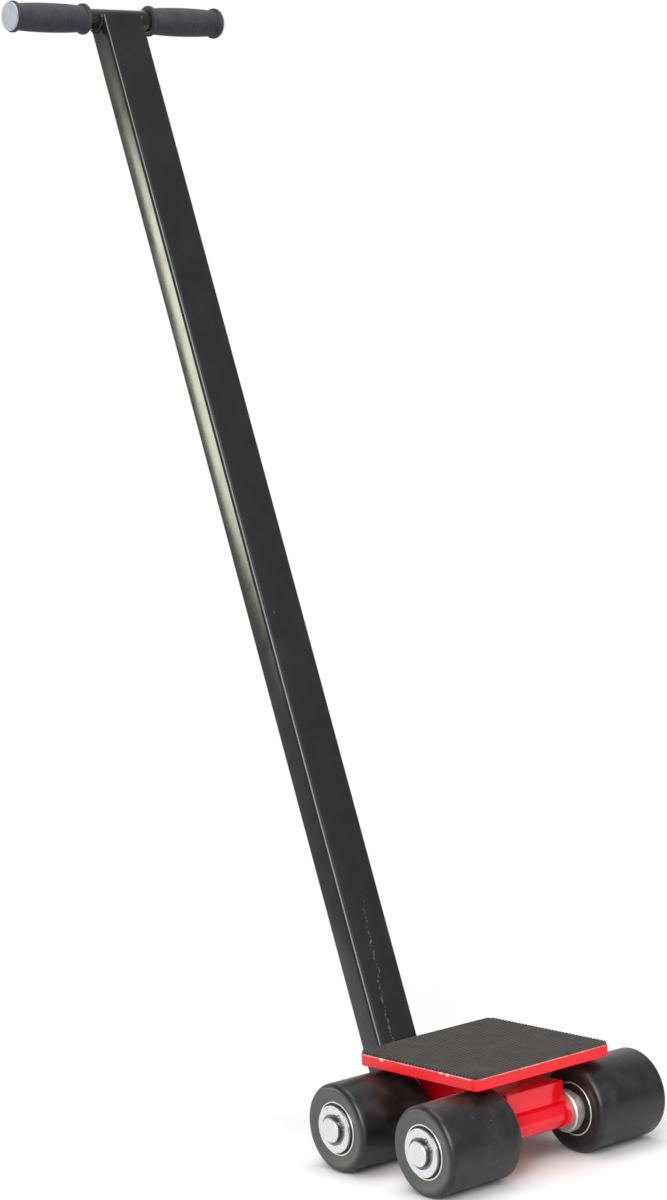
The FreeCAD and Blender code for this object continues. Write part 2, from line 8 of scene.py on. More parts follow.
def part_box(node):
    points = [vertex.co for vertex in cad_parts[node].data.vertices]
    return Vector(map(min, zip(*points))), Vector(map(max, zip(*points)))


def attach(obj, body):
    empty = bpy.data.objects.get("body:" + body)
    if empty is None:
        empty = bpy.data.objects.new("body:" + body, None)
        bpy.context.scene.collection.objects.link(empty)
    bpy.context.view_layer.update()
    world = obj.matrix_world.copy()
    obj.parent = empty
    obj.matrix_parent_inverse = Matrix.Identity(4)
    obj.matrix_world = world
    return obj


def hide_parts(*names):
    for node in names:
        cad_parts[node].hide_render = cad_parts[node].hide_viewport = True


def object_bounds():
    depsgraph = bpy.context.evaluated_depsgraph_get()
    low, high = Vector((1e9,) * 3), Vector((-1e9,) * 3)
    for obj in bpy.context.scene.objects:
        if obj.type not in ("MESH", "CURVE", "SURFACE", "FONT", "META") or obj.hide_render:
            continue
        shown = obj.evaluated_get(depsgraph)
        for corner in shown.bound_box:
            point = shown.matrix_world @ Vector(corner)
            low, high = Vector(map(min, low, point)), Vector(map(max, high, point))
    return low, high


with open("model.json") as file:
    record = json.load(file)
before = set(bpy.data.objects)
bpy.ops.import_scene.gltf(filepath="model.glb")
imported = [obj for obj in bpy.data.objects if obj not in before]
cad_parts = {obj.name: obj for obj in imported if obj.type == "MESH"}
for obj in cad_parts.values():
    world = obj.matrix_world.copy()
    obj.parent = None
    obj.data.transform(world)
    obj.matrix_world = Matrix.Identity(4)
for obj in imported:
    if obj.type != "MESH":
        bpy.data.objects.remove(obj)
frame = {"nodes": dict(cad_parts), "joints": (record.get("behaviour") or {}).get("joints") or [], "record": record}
cad_low, cad_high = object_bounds()

# Steerable machine skate: a red welded chassis with a turning load plate, four black nylon rollers on
# zinc-plated axles, and a black drawbar with a T-bar and two ribbed grips.
# Metres, in the frame of the solids: X along the axles, +Y towards the drawbar, +Z up.
MM = 0.001

# Places read from the solids
plate_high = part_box("load_plate")[1]
pad_low, pad_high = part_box("rubber_pad")
bar_low, bar_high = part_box("chassis_bar")
block_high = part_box("kingpin_block")[1]
axle_tube_low, axle_tube_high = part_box("front_axle_tube")
lug_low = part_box("right_drawbar_lug")[0]
bolt_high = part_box("hinge_bolt")[1]
nut_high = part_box("hinge_nut")[1]
axle_low, axle_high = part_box("front_axle")
roller_low, roller_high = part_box("front_right_roller")
tbar_low, tbar_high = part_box("t_bar")
tube_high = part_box("drawbar_tube")[1]
joint_places = {joint["name"]: Vector(joint["pos_m"]) for joint in frame["joints"]}
floor_height = cad_low.z
plate_half = plate_high.x
axle_place = joint_places["front_right_spin"]
axle_tube_radius = (axle_tube_high.z - axle_tube_low.z) / 2
axle_radius = (axle_high.z - axle_low.z) / 2
roller_radius = (roller_high.z - roller_low.z) / 2
roller_middle = (roller_low.x + roller_high.x) / 2

# The drawbar's own frame: its hinge, X across, depth towards the front, and the line of the tube
hinge = joint_places["drawbar_tilt"]
tbar_centre = (tbar_low + tbar_high) / 2
tbar_radius = (tbar_high.z - tbar_low.z) / 2
across = Vector((1, 0, 0))
along = (tbar_centre - hinge).normalized()
depthwise = along.cross(across)
drawbar_reach = (tbar_centre - hinge).length
drawbar_half_width = tube_high.x
drawbar_frame = Matrix((across, depthwise, along)).transposed().to_4x4()
drawbar_frame.translation = hinge
into_drawbar = drawbar_frame.inverted()
tube_points = [into_drawbar @ corner.co for corner in frame["nodes"]["drawbar_tube"].data.vertices]
tube_top = max(point.z for point in tube_points)
tube_half_depth = max(point.y for point in tube_points)

# Pad. The real mat has ribs about 2 mm apart, drawn more than twice as coarse so that they show.
PAD_RIB_PITCH = 4.8 * MM
PAD_RIB_HEIGHT = 1.7 * MM
PAD_RIB_SAMPLES = 8
PAD_CORNER_RADIUS = 6.0 * MM
pad_ribs = round((pad_high.y - pad_low.y) / PAD_RIB_PITCH)
pad_rib_step = (pad_high.y - pad_low.y) / pad_ribs

# Grips
GRIP_END_RADIUS = 13.4 * MM
GRIP_MIDDLE_RADIUS = 15.3 * MM
GRIP_FLANGE_WIDTH = 4.5 * MM
GRIP_FLANGE_FILLET = 1.2 * MM
GRIP_BORE_CLEARANCE = 0.02 * MM
GRIP_RIB_PITCH = 3.0 * MM
GRIP_RIB_DEPTH = 0.5 * MM
GRIP_ROW_SPACING = 0.3 * MM
GRIP_SIDES = 64

# Ribs are half sine waves raised to this power, which gives broad crowns and narrow grooves
RIB_POWER = 0.6

# Weld beads: their ripples, and their shape as shares of their radius
CHASSIS_BEAD = 2.4 * MM
DRAWBAR_BEAD = 3.2 * MM
BEAD_SIDES = 12
BEAD_RIPPLE_PITCH = 2.4 * MM
BEAD_RIPPLE_POINTS = 8
BEAD_RIPPLE_SHARE = 0.3
BEAD_LUMP = 6 * MM
BEAD_THIN_SHARE = 0.7
BEAD_TIP_SHARE = 0.4

# Seams: how far the middle of a bead stands off what it joins, in shares of its radius, and angles in degrees
SEAM_STANDOFF_SHARE = 0.3
TUBE_SIDE_STANDOFF_SHARE = 0.2
TUBE_TOP_INSET_SHARE = 1.6
TUBE_TOP_END_SHARE = 2.0
BLOCK_CORNER_RADIUS = 8.0 * MM
LUG_LAP = 7.0 * MM
LUG_SEAM_ANGLES = (45, -225)
TBAR_SEAM_ANGLES = (-180, 0)
ARC_STEPS = 24

# Thread on the hinge bolt
BOLT_RADIUS = 8.0 * MM
THREAD_PITCH = 2.0 * MM
THREAD_DEPTH = 0.55 * MM
THREAD_STEPS = 32
THREAD_SIDES = 3

# Points closer than this are one point, and edges sharper than this stay sharp
MERGE_DISTANCE = 0.005 * MM
CREASE_ANGLE = math.radians(40)

# Knocks on the plate's rim: outward direction of the edge, place along it, length, and paint lost, in mm
PLATE_KNOCKS = (
    ((-1, 0), 50, 8, 2.4),
    ((-1, 0), -36, 9, 1.6),
    ((-1, 0), -45, 7, 2.0),
    ((-1, 0), -68, 34, 1.1),
    ((0, -1), -18, 46, 1.0),
    ((0, -1), 21, 18, 0.9),
    ((0, -1), 50, 9, 1.1),
    ((1, 0), -30, 12, 1.6),
    ((1, 0), 42, 26, 1.0),
    ((0, 1), -30, 22, 1.2),
    ((0, 1), 37, 8, 1.8),
)

# Heights of the black enamel's waves and scuffs
ENAMEL_WAVE = 0.02 * MM
SCUFF_DEPTH = 0.04 * MM
# Fall of the drawbar tube's faces from their middle lines, as shares of distance squared in metres
TUBE_CROWN = (0.7, 3.2)
# A roller's grey face, partly painted light, fades into its black tread between these distances from its rim
ROLLER_FACE_INSET = 6.5 * MM
ROLLER_TREAD_INSET = 2.5 * MM
# Width of the brown rim at each axle end, and how far past the axle's radius its surface may lie
AXLE_RIM = 0.9 * MM
AXLE_TOLERANCE = 0.1 * MM

# Spans that hold most of a noise's values, and the middle ones
NOISE_SPAN = {"From Min": 0.3, "From Max": 0.7}
NOISE_MIDDLE = {"From Min": 0.35, "From Max": 0.65}
# Places of a Mix node's inputs, whose names repeat: the factor, two numbers and two colours
FACTOR = 0
NUMBER_A = 2
NUMBER_B = 3
COLOUR_A = 6
COLOUR_B = 7


def linear(colour):
    """An sRGB hex colour as linear RGBA."""
    channels = []
    for start in (1, 3, 5):
        value = int(colour[start:start + 2], 16) / 255
        channels.append(value / 12.92 if value <= 0.04045 else ((value + 0.055) / 1.055) ** 2.4)
    return (*channels, 1.0)


def first_output(source):
    """The first of a node's outputs that is in use."""
    return next(socket for socket in source.outputs if socket.enabled)


def node(tree, kind, inputs=None, **settings):
    """Add a node with its settings. Its inputs go by name, or by place where names repeat, and each takes a
    value, a socket to link, or a node whose first output in use is linked."""
    made = tree.nodes.new(kind)
    for name, value in settings.items():
        setattr(made, name, value)
    for name, value in (inputs or {}).items():
        if isinstance(value, bpy.types.Node):
            value = first_output(value)
        if isinstance(value, bpy.types.NodeSocket):
            tree.links.new(value, made.inputs[name])
        else:
            made.inputs[name].default_value = value
    return made


def blank_material(name, **constants):
    """A new material with its shader's constants set, and the object coordinates that its patterns follow."""
    made = bpy.data.materials.new(name)
    made.use_nodes = True
    tree = made.node_tree
    shader = tree.nodes["Principled BSDF"]
    for socket, value in constants.items():
        shader.inputs[socket.replace("_", " ")].default_value = value
    return made, tree, shader, node(tree, "ShaderNodeTexCoord").outputs["Object"]


def dress(tree, shader, colour, gloss, relief):
    """Link a material's colour, roughness and bump to its shader."""
    for source, socket in ((colour, "Base Color"), (gloss, "Roughness"), (relief, "Normal")):
        tree.links.new(first_output(source), shader.inputs[socket])


def red_enamel(name, smooth, rough, knocked_edge):
    """Alkyd enamel sprayed on steel: a deep red with a faint orange peel, wet and mirror-like on the chassis
    and dulled by loads on the plate. Where an edge has been knocked, the pale primer shows."""
    patch = 45 * MM
    dimple = 3 * MM
    dimple_height = 0.06 * MM
    primer_roughness = 0.6
    made, tree, shader, place = blank_material(name, IOR=1.5)
    drift = node(tree, "ShaderNodeTexNoise", {"Vector": place, "Scale": 1 / patch, "Detail": 3.0})
    tint = node(tree, "ShaderNodeMapRange", {"Value": drift, **NOISE_MIDDLE})
    colour = node(
        tree,
        "ShaderNodeMix",
        {FACTOR: tint, COLOUR_A: linear("#e40a1b"), COLOUR_B: linear("#f00d24")},
        data_type="RGBA",
    )
    gloss = node(
        tree, "ShaderNodeMapRange", {"Value": drift, **NOISE_SPAN, "To Min": smooth, "To Max": rough}
    )
    peel = node(tree, "ShaderNodeTexNoise", {"Vector": place, "Scale": 1 / dimple, "Detail": 1.0})
    height = peel
    if knocked_edge:
        chips = chipped_rim(tree, place)
        colour = node(
            tree,
            "ShaderNodeMix",
            {FACTOR: chips, COLOUR_A: colour, COLOUR_B: linear("#f2b5a5")},
            data_type="RGBA",
        )
        gloss = node(tree, "ShaderNodeMix", {FACTOR: chips, NUMBER_A: gloss, NUMBER_B: primer_roughness})
        height = node(tree, "ShaderNodeMath", {0: peel, 1: chips}, operation="SUBTRACT")
    relief = node(tree, "ShaderNodeBump", {"Height": height, "Strength": 0.25, "Distance": dimple_height})
    dress(tree, shader, colour, gloss, relief)
    return made


def chipped_rim(tree, place):
    """Mask of the paint lost along the plate's upper rim: a thin rubbed line, and a deeper bite at each
    knock. A rub leaves some paint, and a bite bares the primer."""
    stretch = 20 * MM
    least_rub = 0.7 * MM
    most_rub = 1.0 * MM
    crumb = 2.6 * MM
    torn_edge_start = -0.1 * MM
    torn_edge_end = 0.2 * MM
    rub_depth = 0.8 * MM
    primer_depth = 1.6 * MM
    apart = node(tree, "ShaderNodeSeparateXYZ", {"Vector": place})
    side_x = node(tree, "ShaderNodeMath", {0: apart.outputs["X"]}, operation="ABSOLUTE")
    side_y = node(tree, "ShaderNodeMath", {0: apart.outputs["Y"]}, operation="ABSOLUTE")
    reach = node(tree, "ShaderNodeMath", {0: side_x, 1: side_y}, operation="MAXIMUM")
    inset = node(tree, "ShaderNodeMath", {0: plate_half, 1: reach}, operation="SUBTRACT")
    drop = node(tree, "ShaderNodeMath", {0: plate_high.z, 1: apart.outputs["Z"]}, operation="SUBTRACT")
    depth = node(tree, "ShaderNodeMath", {0: inset, 1: drop}, operation="ADD")
    stretches = node(tree, "ShaderNodeTexNoise", {"Vector": place, "Scale": 1 / stretch, "Detail": 2.0})
    bite = node(
        tree,
        "ShaderNodeMapRange",
        {"Value": stretches, **NOISE_MIDDLE, "To Min": least_rub, "To Max": most_rub},
    )
    flat = node(tree, "ShaderNodeVectorMath", {0: place, 1: (1, 1, 0)}, operation="MULTIPLY")
    for (out_x, out_y), along_edge, length, loss in PLATE_KNOCKS:
        edge = Vector((out_x, out_y, 0)) * plate_half
        spot = edge + Vector((abs(out_y), abs(out_x), 0)) * along_edge * MM
        away = node(tree, "ShaderNodeVectorMath", {0: flat, 1: spot}, operation="DISTANCE")
        knock = node(
            tree,
            "ShaderNodeMapRange",
            {
                "Value": away.outputs["Value"],
                "From Min": length / 4 * MM,
                "From Max": length / 2 * MM,
                "To Min": loss * MM,
                "To Max": 0.0,
            },
        )
        bite = node(tree, "ShaderNodeMath", {0: bite, 1: knock}, operation="MAXIMUM")
    ragged = node(tree, "ShaderNodeTexNoise", {"Vector": place, "Scale": 1 / crumb, "Detail": 2.0})
    tear = node(tree, "ShaderNodeMapRange", {"Value": ragged, **NOISE_MIDDLE, "To Min": 0.75, "To Max": 1.25})
    lost = node(tree, "ShaderNodeMath", {0: bite, 1: tear}, operation="MULTIPLY")
    margin = node(tree, "ShaderNodeMath", {0: lost, 1: depth}, operation="SUBTRACT")
    bare = node(
        tree,
        "ShaderNodeMapRange",
        {"Value": margin, "From Min": torn_edge_start, "From Max": torn_edge_end},
    )
    worn = node(
        tree,
        "ShaderNodeMapRange",
        {"Value": bite, "From Min": rub_depth, "From Max": primer_depth, "To Min": 0.35, "To Max": 1.0},
    )
    return node(tree, "ShaderNodeMath", {0: bare, 1: worn}, operation="MULTIPLY")


def black_enamel(name, scuffed):
    """Stoved black enamel on drawn tube: near black and glossy, and gently wavy along the tube. The scuffed
    one has a chain of scuffs low on the drawbar's rear face and a few nicks, over faces that are crowned by
    less than a millimetre."""
    wave = 9 * MM
    lengthwise_share = 0.12
    haze_patch = 28 * MM
    scuff_roughness = 0.7
    made, tree, shader, place = blank_material(name, IOR=1.5)
    local = node(
        tree,
        "ShaderNodeMapping",
        {"Vector": place, "Location": into_drawbar.translation, "Rotation": into_drawbar.to_euler()},
    )
    stretched = node(tree, "ShaderNodeMapping", {"Vector": local, "Scale": (1, 1, lengthwise_share)})
    waves = node(tree, "ShaderNodeTexNoise", {"Vector": stretched, "Scale": 1 / wave, "Detail": 2.0})
    haze = node(tree, "ShaderNodeTexNoise", {"Vector": local, "Scale": 1 / haze_patch, "Detail": 4.0})
    colour = node(
        tree,
        "ShaderNodeMix",
        {FACTOR: haze, COLOUR_A: linear("#161617"), COLOUR_B: linear("#252526")},
        data_type="RGBA",
    )
    gloss = node(tree, "ShaderNodeMapRange", {"Value": haze, **NOISE_SPAN, "To Min": 0.14, "To Max": 0.21})
    height = node(tree, "ShaderNodeMath", {0: waves, 1: ENAMEL_WAVE}, operation="MULTIPLY")
    if scuffed:
        worn = scuff_marks(tree, local)
        colour = node(
            tree,
            "ShaderNodeMix",
            {FACTOR: worn, COLOUR_A: colour, COLOUR_B: linear("#6b655e")},
            data_type="RGBA",
        )
        gloss = node(tree, "ShaderNodeMix", {FACTOR: worn, NUMBER_A: gloss, NUMBER_B: scuff_roughness})
        scar = node(tree, "ShaderNodeMath", {0: worn, 1: -SCUFF_DEPTH}, operation="MULTIPLY")
        height = node(tree, "ShaderNodeMath", {0: height, 1: scar}, operation="ADD")
        squares = node(tree, "ShaderNodeVectorMath", {0: local, 1: local}, operation="MULTIPLY")
        fall = node(
            tree, "ShaderNodeVectorMath", {0: squares, 1: (*TUBE_CROWN, 0)}, operation="DOT_PRODUCT"
        )
        height = node(tree, "ShaderNodeMath", {0: height, 1: fall.outputs["Value"]}, operation="SUBTRACT")
    relief = node(tree, "ShaderNodeBump", {"Height": height, "Strength": 1.0, "Distance": 1.0})
    dress(tree, shader, colour, gloss, relief)
    return made


def scuff_marks(tree, local):
    """Mask of the drawbar's scuffs: a broken wandering line low on the rear face, and sparse slanted nicks
    elsewhere."""
    line_foot = 50 * MM
    line_top = 200 * MM
    foot_offset = -9 * MM
    top_offset = 2 * MM
    fade_start = 150 * MM
    fade_end = 205 * MM
    wandering = 14 * MM
    sway_reach = 4 * MM
    core_half_width = 0.4 * MM
    line_half_width = 1.4 * MM
    crumb = 2.4 * MM
    rear_skin = 2 * MM
    nick = 4 * MM
    nick_slant = (0.7, 0.3, 0)
    lengthwise_share = 0.2
    apart = node(tree, "ShaderNodeSeparateXYZ", {"Vector": local})
    level = apart.outputs["Z"]
    only_level = node(tree, "ShaderNodeCombineXYZ", {"Z": level})
    wander = node(tree, "ShaderNodeTexNoise", {"Vector": only_level, "Scale": 1 / wandering, "Detail": 3.0})
    drift = node(
        tree,
        "ShaderNodeMapRange",
        {
            "Value": level,
            "From Min": line_foot,
            "From Max": line_top,
            "To Min": foot_offset,
            "To Max": top_offset,
        },
    )
    sway = node(
        tree,
        "ShaderNodeMapRange",
        {"Value": wander, **NOISE_SPAN, "To Min": -sway_reach, "To Max": sway_reach},
    )
    line = node(tree, "ShaderNodeMath", {0: drift, 1: sway}, operation="ADD")
    off = node(tree, "ShaderNodeMath", {0: apart.outputs["X"], 1: line}, operation="SUBTRACT")
    width = node(tree, "ShaderNodeMath", {0: off}, operation="ABSOLUTE")
    near = node(
        tree,
        "ShaderNodeMapRange",
        {
            "Value": width,
            "From Min": core_half_width,
            "From Max": line_half_width,
            "To Min": 0.8,
            "To Max": 0.0,
        },
    )
    crumbs = node(tree, "ShaderNodeTexNoise", {"Vector": local, "Scale": 1 / crumb, "Detail": 2.0})
    broken = node(tree, "ShaderNodeMapRange", {"Value": crumbs, "From Min": 0.46, "From Max": 0.58})
    low_down = node(
        tree,
        "ShaderNodeMapRange",
        {"Value": level, "From Min": fade_start, "From Max": fade_end, "To Min": 1.0, "To Max": 0.0},
    )
    rear = node(
        tree,
        "ShaderNodeMath",
        {0: apart.outputs["Y"], 1: rear_skin - tube_half_depth},
        operation="LESS_THAN",
    )
    scuff = near
    for mask in (broken, low_down, rear):
        scuff = node(tree, "ShaderNodeMath", {0: scuff, 1: mask}, operation="MULTIPLY")
    slanted = node(
        tree,
        "ShaderNodeMapping",
        {"Vector": local, "Rotation": nick_slant, "Scale": (1, 1, lengthwise_share)},
    )
    strokes = node(tree, "ShaderNodeTexNoise", {"Vector": slanted, "Scale": 1 / nick, "Detail": 1.0})
    nicks = node(
        tree, "ShaderNodeMapRange", {"Value": strokes, "From Min": 0.8, "From Max": 0.83, "To Max": 0.7}
    )
    return node(tree, "ShaderNodeMath", {0: scuff, 1: nicks}, operation="MAXIMUM")


def axle_rings(tree, place):
    """Coordinates that are the same all round an axle, place along it and distance from its line, and that
    distance by itself."""
    apart = node(tree, "ShaderNodeSeparateXYZ", {"Vector": place})
    mirrored = node(tree, "ShaderNodeMath", {0: apart.outputs["Y"]}, operation="ABSOLUTE")
    offset_y = node(tree, "ShaderNodeMath", {0: mirrored, 1: axle_place.y}, operation="SUBTRACT")
    offset_z = node(tree, "ShaderNodeMath", {0: apart.outputs["Z"], 1: axle_place.z}, operation="SUBTRACT")
    spoke = node(tree, "ShaderNodeCombineXYZ", {"Y": offset_y, "Z": offset_z})
    radius = node(tree, "ShaderNodeVectorMath", {0: spoke}, operation="LENGTH").outputs["Value"]
    return node(tree, "ShaderNodeCombineXYZ", {"X": apart.outputs["X"], "Y": radius}), radius


def turned_nylon(name):
    """Black cast nylon, turned on a lathe: satin black treads with rubbed patches and a few specks of dust,
    and greyer ends on the outside, all with faint tool rings. That grey is partly a lighter faced finish and
    partly painted light; the inner ends keep the treads' black as painted shade."""
    ring = 2.5 * MM
    ring_height = 0.05 * MM
    rub = 16 * MM
    speck_spacing = 13 * MM
    made, tree, shader, place = blank_material(name, IOR=1.53, Specular_IOR_Level=0.4)
    turned, radius = axle_rings(tree, place)
    rings = node(tree, "ShaderNodeTexNoise", {"Vector": turned, "Scale": 1 / ring, "Detail": 3.0})
    rubs = node(tree, "ShaderNodeTexNoise", {"Vector": place, "Scale": 1 / rub, "Detail": 5.0})
    rubbed = node(tree, "ShaderNodeMapRange", {"Value": rubs, "From Min": 0.45, "From Max": 0.7})
    tread = node(
        tree,
        "ShaderNodeMix",
        {FACTOR: rubbed, COLOUR_A: linear("#191818"), COLOUR_B: linear("#2a2928")},
        data_type="RGBA",
    )
    # Grey of the faced ends: partly a lighter finish, partly painted light
    faced = node(
        tree,
        "ShaderNodeMix",
        {FACTOR: rings, COLOUR_A: linear("#3f3f40"), COLOUR_B: linear("#505051")},
        data_type="RGBA",
    )
    ends = node(
        tree,
        "ShaderNodeMapRange",
        {
            "Value": radius,
            "From Min": roller_radius - ROLLER_FACE_INSET,
            "From Max": roller_radius - ROLLER_TREAD_INSET,
            "To Min": 1.0,
            "To Max": 0.0,
        },
    )
    # Only the ends on the outside get the grey; the inner ends stay black as painted shade
    apart = node(tree, "ShaderNodeSeparateXYZ", {"Vector": place})
    sideways = node(tree, "ShaderNodeMath", {0: apart.outputs["X"]}, operation="ABSOLUTE")
    lit_outside_end = node(tree, "ShaderNodeMath", {0: sideways, 1: roller_middle}, operation="GREATER_THAN")
    ends = node(tree, "ShaderNodeMath", {0: ends, 1: lit_outside_end}, operation="MULTIPLY")
    colour = node(
        tree, "ShaderNodeMix", {FACTOR: ends, COLOUR_A: tread, COLOUR_B: faced}, data_type="RGBA"
    )
    dust = node(
        tree,
        "ShaderNodeTexVoronoi",
        {"Vector": place, "Scale": 1 / speck_spacing, "Randomness": 1.0},
        feature="F1",
    )
    specks = node(
        tree,
        "ShaderNodeMapRange",
        {"Value": dust, "From Min": 0.03, "From Max": 0.06, "To Min": 0.6, "To Max": 0.0},
    )
    colour = node(
        tree,
        "ShaderNodeMix",
        {FACTOR: specks, COLOUR_A: colour, COLOUR_B: linear("#7c7974")},
        data_type="RGBA",
    )
    gloss = node(tree, "ShaderNodeMapRange", {"Value": rubs, **NOISE_SPAN, "To Min": 0.3, "To Max": 0.44})
    relief = node(tree, "ShaderNodeBump", {"Height": rings, "Strength": 0.3, "Distance": ring_height})
    dress(tree, shader, colour, gloss, relief)
    return made


def plain_surface(name, dark, light, patch, smooth, rough, relief, **constants):
    """A surface whose colour and gloss drift in soft patches of one size over a fine grain."""
    grit = 1.2 * MM
    grit_height = 0.05 * MM
    made, tree, shader, place = blank_material(name, **constants)
    drift = node(tree, "ShaderNodeTexNoise", {"Vector": place, "Scale": 1 / patch, "Detail": 4.0})
    spread = node(tree, "ShaderNodeMapRange", {"Value": drift, **NOISE_SPAN})
    colour = node(
        tree,
        "ShaderNodeMix",
        {FACTOR: spread, COLOUR_A: linear(dark), COLOUR_B: linear(light)},
        data_type="RGBA",
    )
    gloss = node(tree, "ShaderNodeMapRange", {"Value": spread, "To Min": smooth, "To Max": rough})
    grain = node(tree, "ShaderNodeTexNoise", {"Vector": place, "Scale": 1 / grit, "Detail": 2.0})
    bump = node(tree, "ShaderNodeBump", {"Height": grain, "Strength": relief, "Distance": grit_height})
    dress(tree, shader, colour, gloss, bump)
    return made


def turned_zinc(name):
    """Zinc-plated steel, faced on a lathe before plating: bright silver-blue with fine rings round each axle,
    and brown and rougher at the rims of the axles. The real rings are finer than a tenth of a
    millimetre, and are drawn ten times coarser so that they show."""
    ring = 1.0 * MM
    ring_height = 0.03 * MM
    cloud = 12 * MM
    rim_roughness = 0.5
    made, tree, shader, place = blank_material(name, Metallic=1.0)
    turned, radius = axle_rings(tree, place)
    rings = node(tree, "ShaderNodeTexNoise", {"Vector": turned, "Scale": 1 / ring, "Detail": 2.0})
    clouds = node(tree, "ShaderNodeTexNoise", {"Vector": place, "Scale": 1 / cloud, "Detail": 3.0})
    colour = node(
        tree,
        "ShaderNodeMix",
        {FACTOR: clouds, COLOUR_A: linear("#cfd2d6"), COLOUR_B: linear("#e0e0de")},
        data_type="RGBA",
    )
    gloss = node(tree, "ShaderNodeMapRange", {"Value": rings, **NOISE_SPAN, "To Min": 0.2, "To Max": 0.34})
    # Darker brown and rougher in a band at each axle's rim
    rim = node(
        tree,
        "ShaderNodeMapRange",
        {"Value": radius, "From Min": axle_radius - AXLE_RIM, "From Max": axle_radius - AXLE_RIM / 2},
    )
    on_axle = node(
        tree, "ShaderNodeMath", {0: radius, 1: axle_radius + AXLE_TOLERANCE}, operation="LESS_THAN"
    )
    brown_rim_share = node(tree, "ShaderNodeMath", {0: rim, 1: on_axle}, operation="MULTIPLY")
    colour = node(
        tree,
        "ShaderNodeMix",
        {FACTOR: brown_rim_share, COLOUR_A: colour, COLOUR_B: linear("#6d655e")},
        data_type="RGBA",
    )
    gloss = node(tree, "ShaderNodeMix", {FACTOR: brown_rim_share, NUMBER_A: gloss, NUMBER_B: rim_roughness})
    relief = node(tree, "ShaderNodeBump", {"Height": rings, "Strength": 0.35, "Distance": ring_height})
    dress(tree, shader, colour, gloss, relief)
    return made


def rib_wave(tree, count):
    """A row of half sine waves, from 0 in the grooves to 1 on the crowns, by the count of ribs so far."""
    phase = node(tree, "ShaderNodeMath", {0: count, 1: math.pi}, operation="MULTIPLY")
    wave = node(tree, "ShaderNodeMath", {0: phase}, operation="SINE")
    return node(tree, "ShaderNodeMath", {0: wave}, operation="ABSOLUTE")


def fluted_rubber(name):
    """Moulded rubber matting, dusty with use: brown-grey rib tops, grooves painted near-black as shade, and
    mottled wear.
    """
    mottle = 22 * MM
    grit = 1.5 * MM
    grit_height = 0.1 * MM
    made, tree, shader, place = blank_material(name, IOR=1.52, Specular_IOR_Level=0.2)
    apart = node(tree, "ShaderNodeSeparateXYZ", {"Vector": place})
    count = node(tree, "ShaderNodeMath", {0: apart.outputs["Y"], 1: pad_rib_step}, operation="DIVIDE")
    wave = rib_wave(tree, count)
    dusty_crest_not_shaded_groove = node(tree, "ShaderNodeMapRange", {"Value": wave, "From Min": 0.25, "From Max": 0.85})
    wear = node(tree, "ShaderNodeTexNoise", {"Vector": place, "Scale": 1 / mottle, "Detail": 5.0})
    worn = node(tree, "ShaderNodeMapRange", {"Value": wear, **NOISE_SPAN})
    dusty = node(
        tree,
        "ShaderNodeMix",
        {FACTOR: worn, COLOUR_A: linear("#433f3d"), COLOUR_B: linear("#585350")},
        data_type="RGBA",
    )
    # The grooves take a near-black colour: painted shade between the ribs
    colour = node(
        tree,
        "ShaderNodeMix",
        {FACTOR: dusty_crest_not_shaded_groove, COLOUR_A: linear("#121111"), COLOUR_B: dusty},
        data_type="RGBA",
    )
    gloss = node(tree, "ShaderNodeMapRange", {"Value": worn, "To Min": 0.6, "To Max": 0.8})
    grain = node(tree, "ShaderNodeTexNoise", {"Vector": place, "Scale": 1 / grit, "Detail": 3.0})
    bump = node(tree, "ShaderNodeBump", {"Height": grain, "Strength": 0.4, "Distance": grit_height})
    dress(tree, shader, colour, gloss, bump)
    return made


def geometry_tree(name, sizes):
    """A geometry-node tree with a named input for each size, and its input sockets."""
    sockets = {float: "NodeSocketFloat", int: "NodeSocketInt", bpy.types.Material: "NodeSocketMaterial"}
    tree = bpy.data.node_groups.new(name, "GeometryNodeTree")
    tree.interface.new_socket("Geometry", in_out="INPUT", socket_type="NodeSocketGeometry")
    tree.interface.new_socket("Geometry", in_out="OUTPUT", socket_type="NodeSocketGeometry")
    for size, value in sizes.items():
        tree.interface.new_socket(size, in_out="INPUT", socket_type=sockets[type(value)])
    return tree, node(tree, "NodeGroupInput").outputs


def finished(tree, result, inputs):
    """End a tree: real geometry, its material, and the output."""
    real = node(tree, "GeometryNodeRealizeInstances", {"Geometry": result})
    clad = node(tree, "GeometryNodeSetMaterial", {"Geometry": real, "Material": inputs["Material"]})
    node(tree, "NodeGroupOutput", {"Geometry": clad})


def grown(name, tree, sizes, seam=None):
    """Run a geometry-node tree on its sizes, and on a seam's curves if it follows one, and keep the plain
    mesh."""
    host = bpy.data.objects.new(name + "_host", seam or bpy.data.meshes.new(name + "_host"))
    bpy.context.scene.collection.objects.link(host)
    modifier = host.modifiers.new(name, "NODES")
    modifier.node_group = tree
    for item in tree.interface.items_tree:
        if item.in_out == "INPUT" and item.name in sizes:
            modifier[item.identifier] = sizes[item.name]
    evaluated = host.evaluated_get(bpy.context.evaluated_depsgraph_get())
    mesh = bpy.data.meshes.new_from_object(evaluated)
    bpy.data.objects.remove(host)
    mesh.name = name
    mesh.shade_smooth()
    mesh.set_sharp_from_angle(angle=CREASE_ANGLE)
    piece = bpy.data.objects.new(name, mesh)
    bpy.context.scene.collection.objects.link(piece)
    return piece


def quarter_round(tree, radius, past):
    """How far a rounded corner still stands out at a distance past the start of its arc."""
    past = node(tree, "ShaderNodeMath", {0: past, 1: 0.0}, operation="MAXIMUM")
    past_squared = node(tree, "ShaderNodeMath", {0: past, 1: past}, operation="MULTIPLY")
    radius_squared = node(tree, "ShaderNodeMath", {0: radius, 1: radius}, operation="MULTIPLY")
    left = node(tree, "ShaderNodeMath", {0: radius_squared, 1: past_squared}, operation="SUBTRACT")
    left = node(tree, "ShaderNodeMath", {0: left, 1: 0.0}, operation="MAXIMUM")
    return node(tree, "ShaderNodeMath", {0: left}, operation="SQRT")


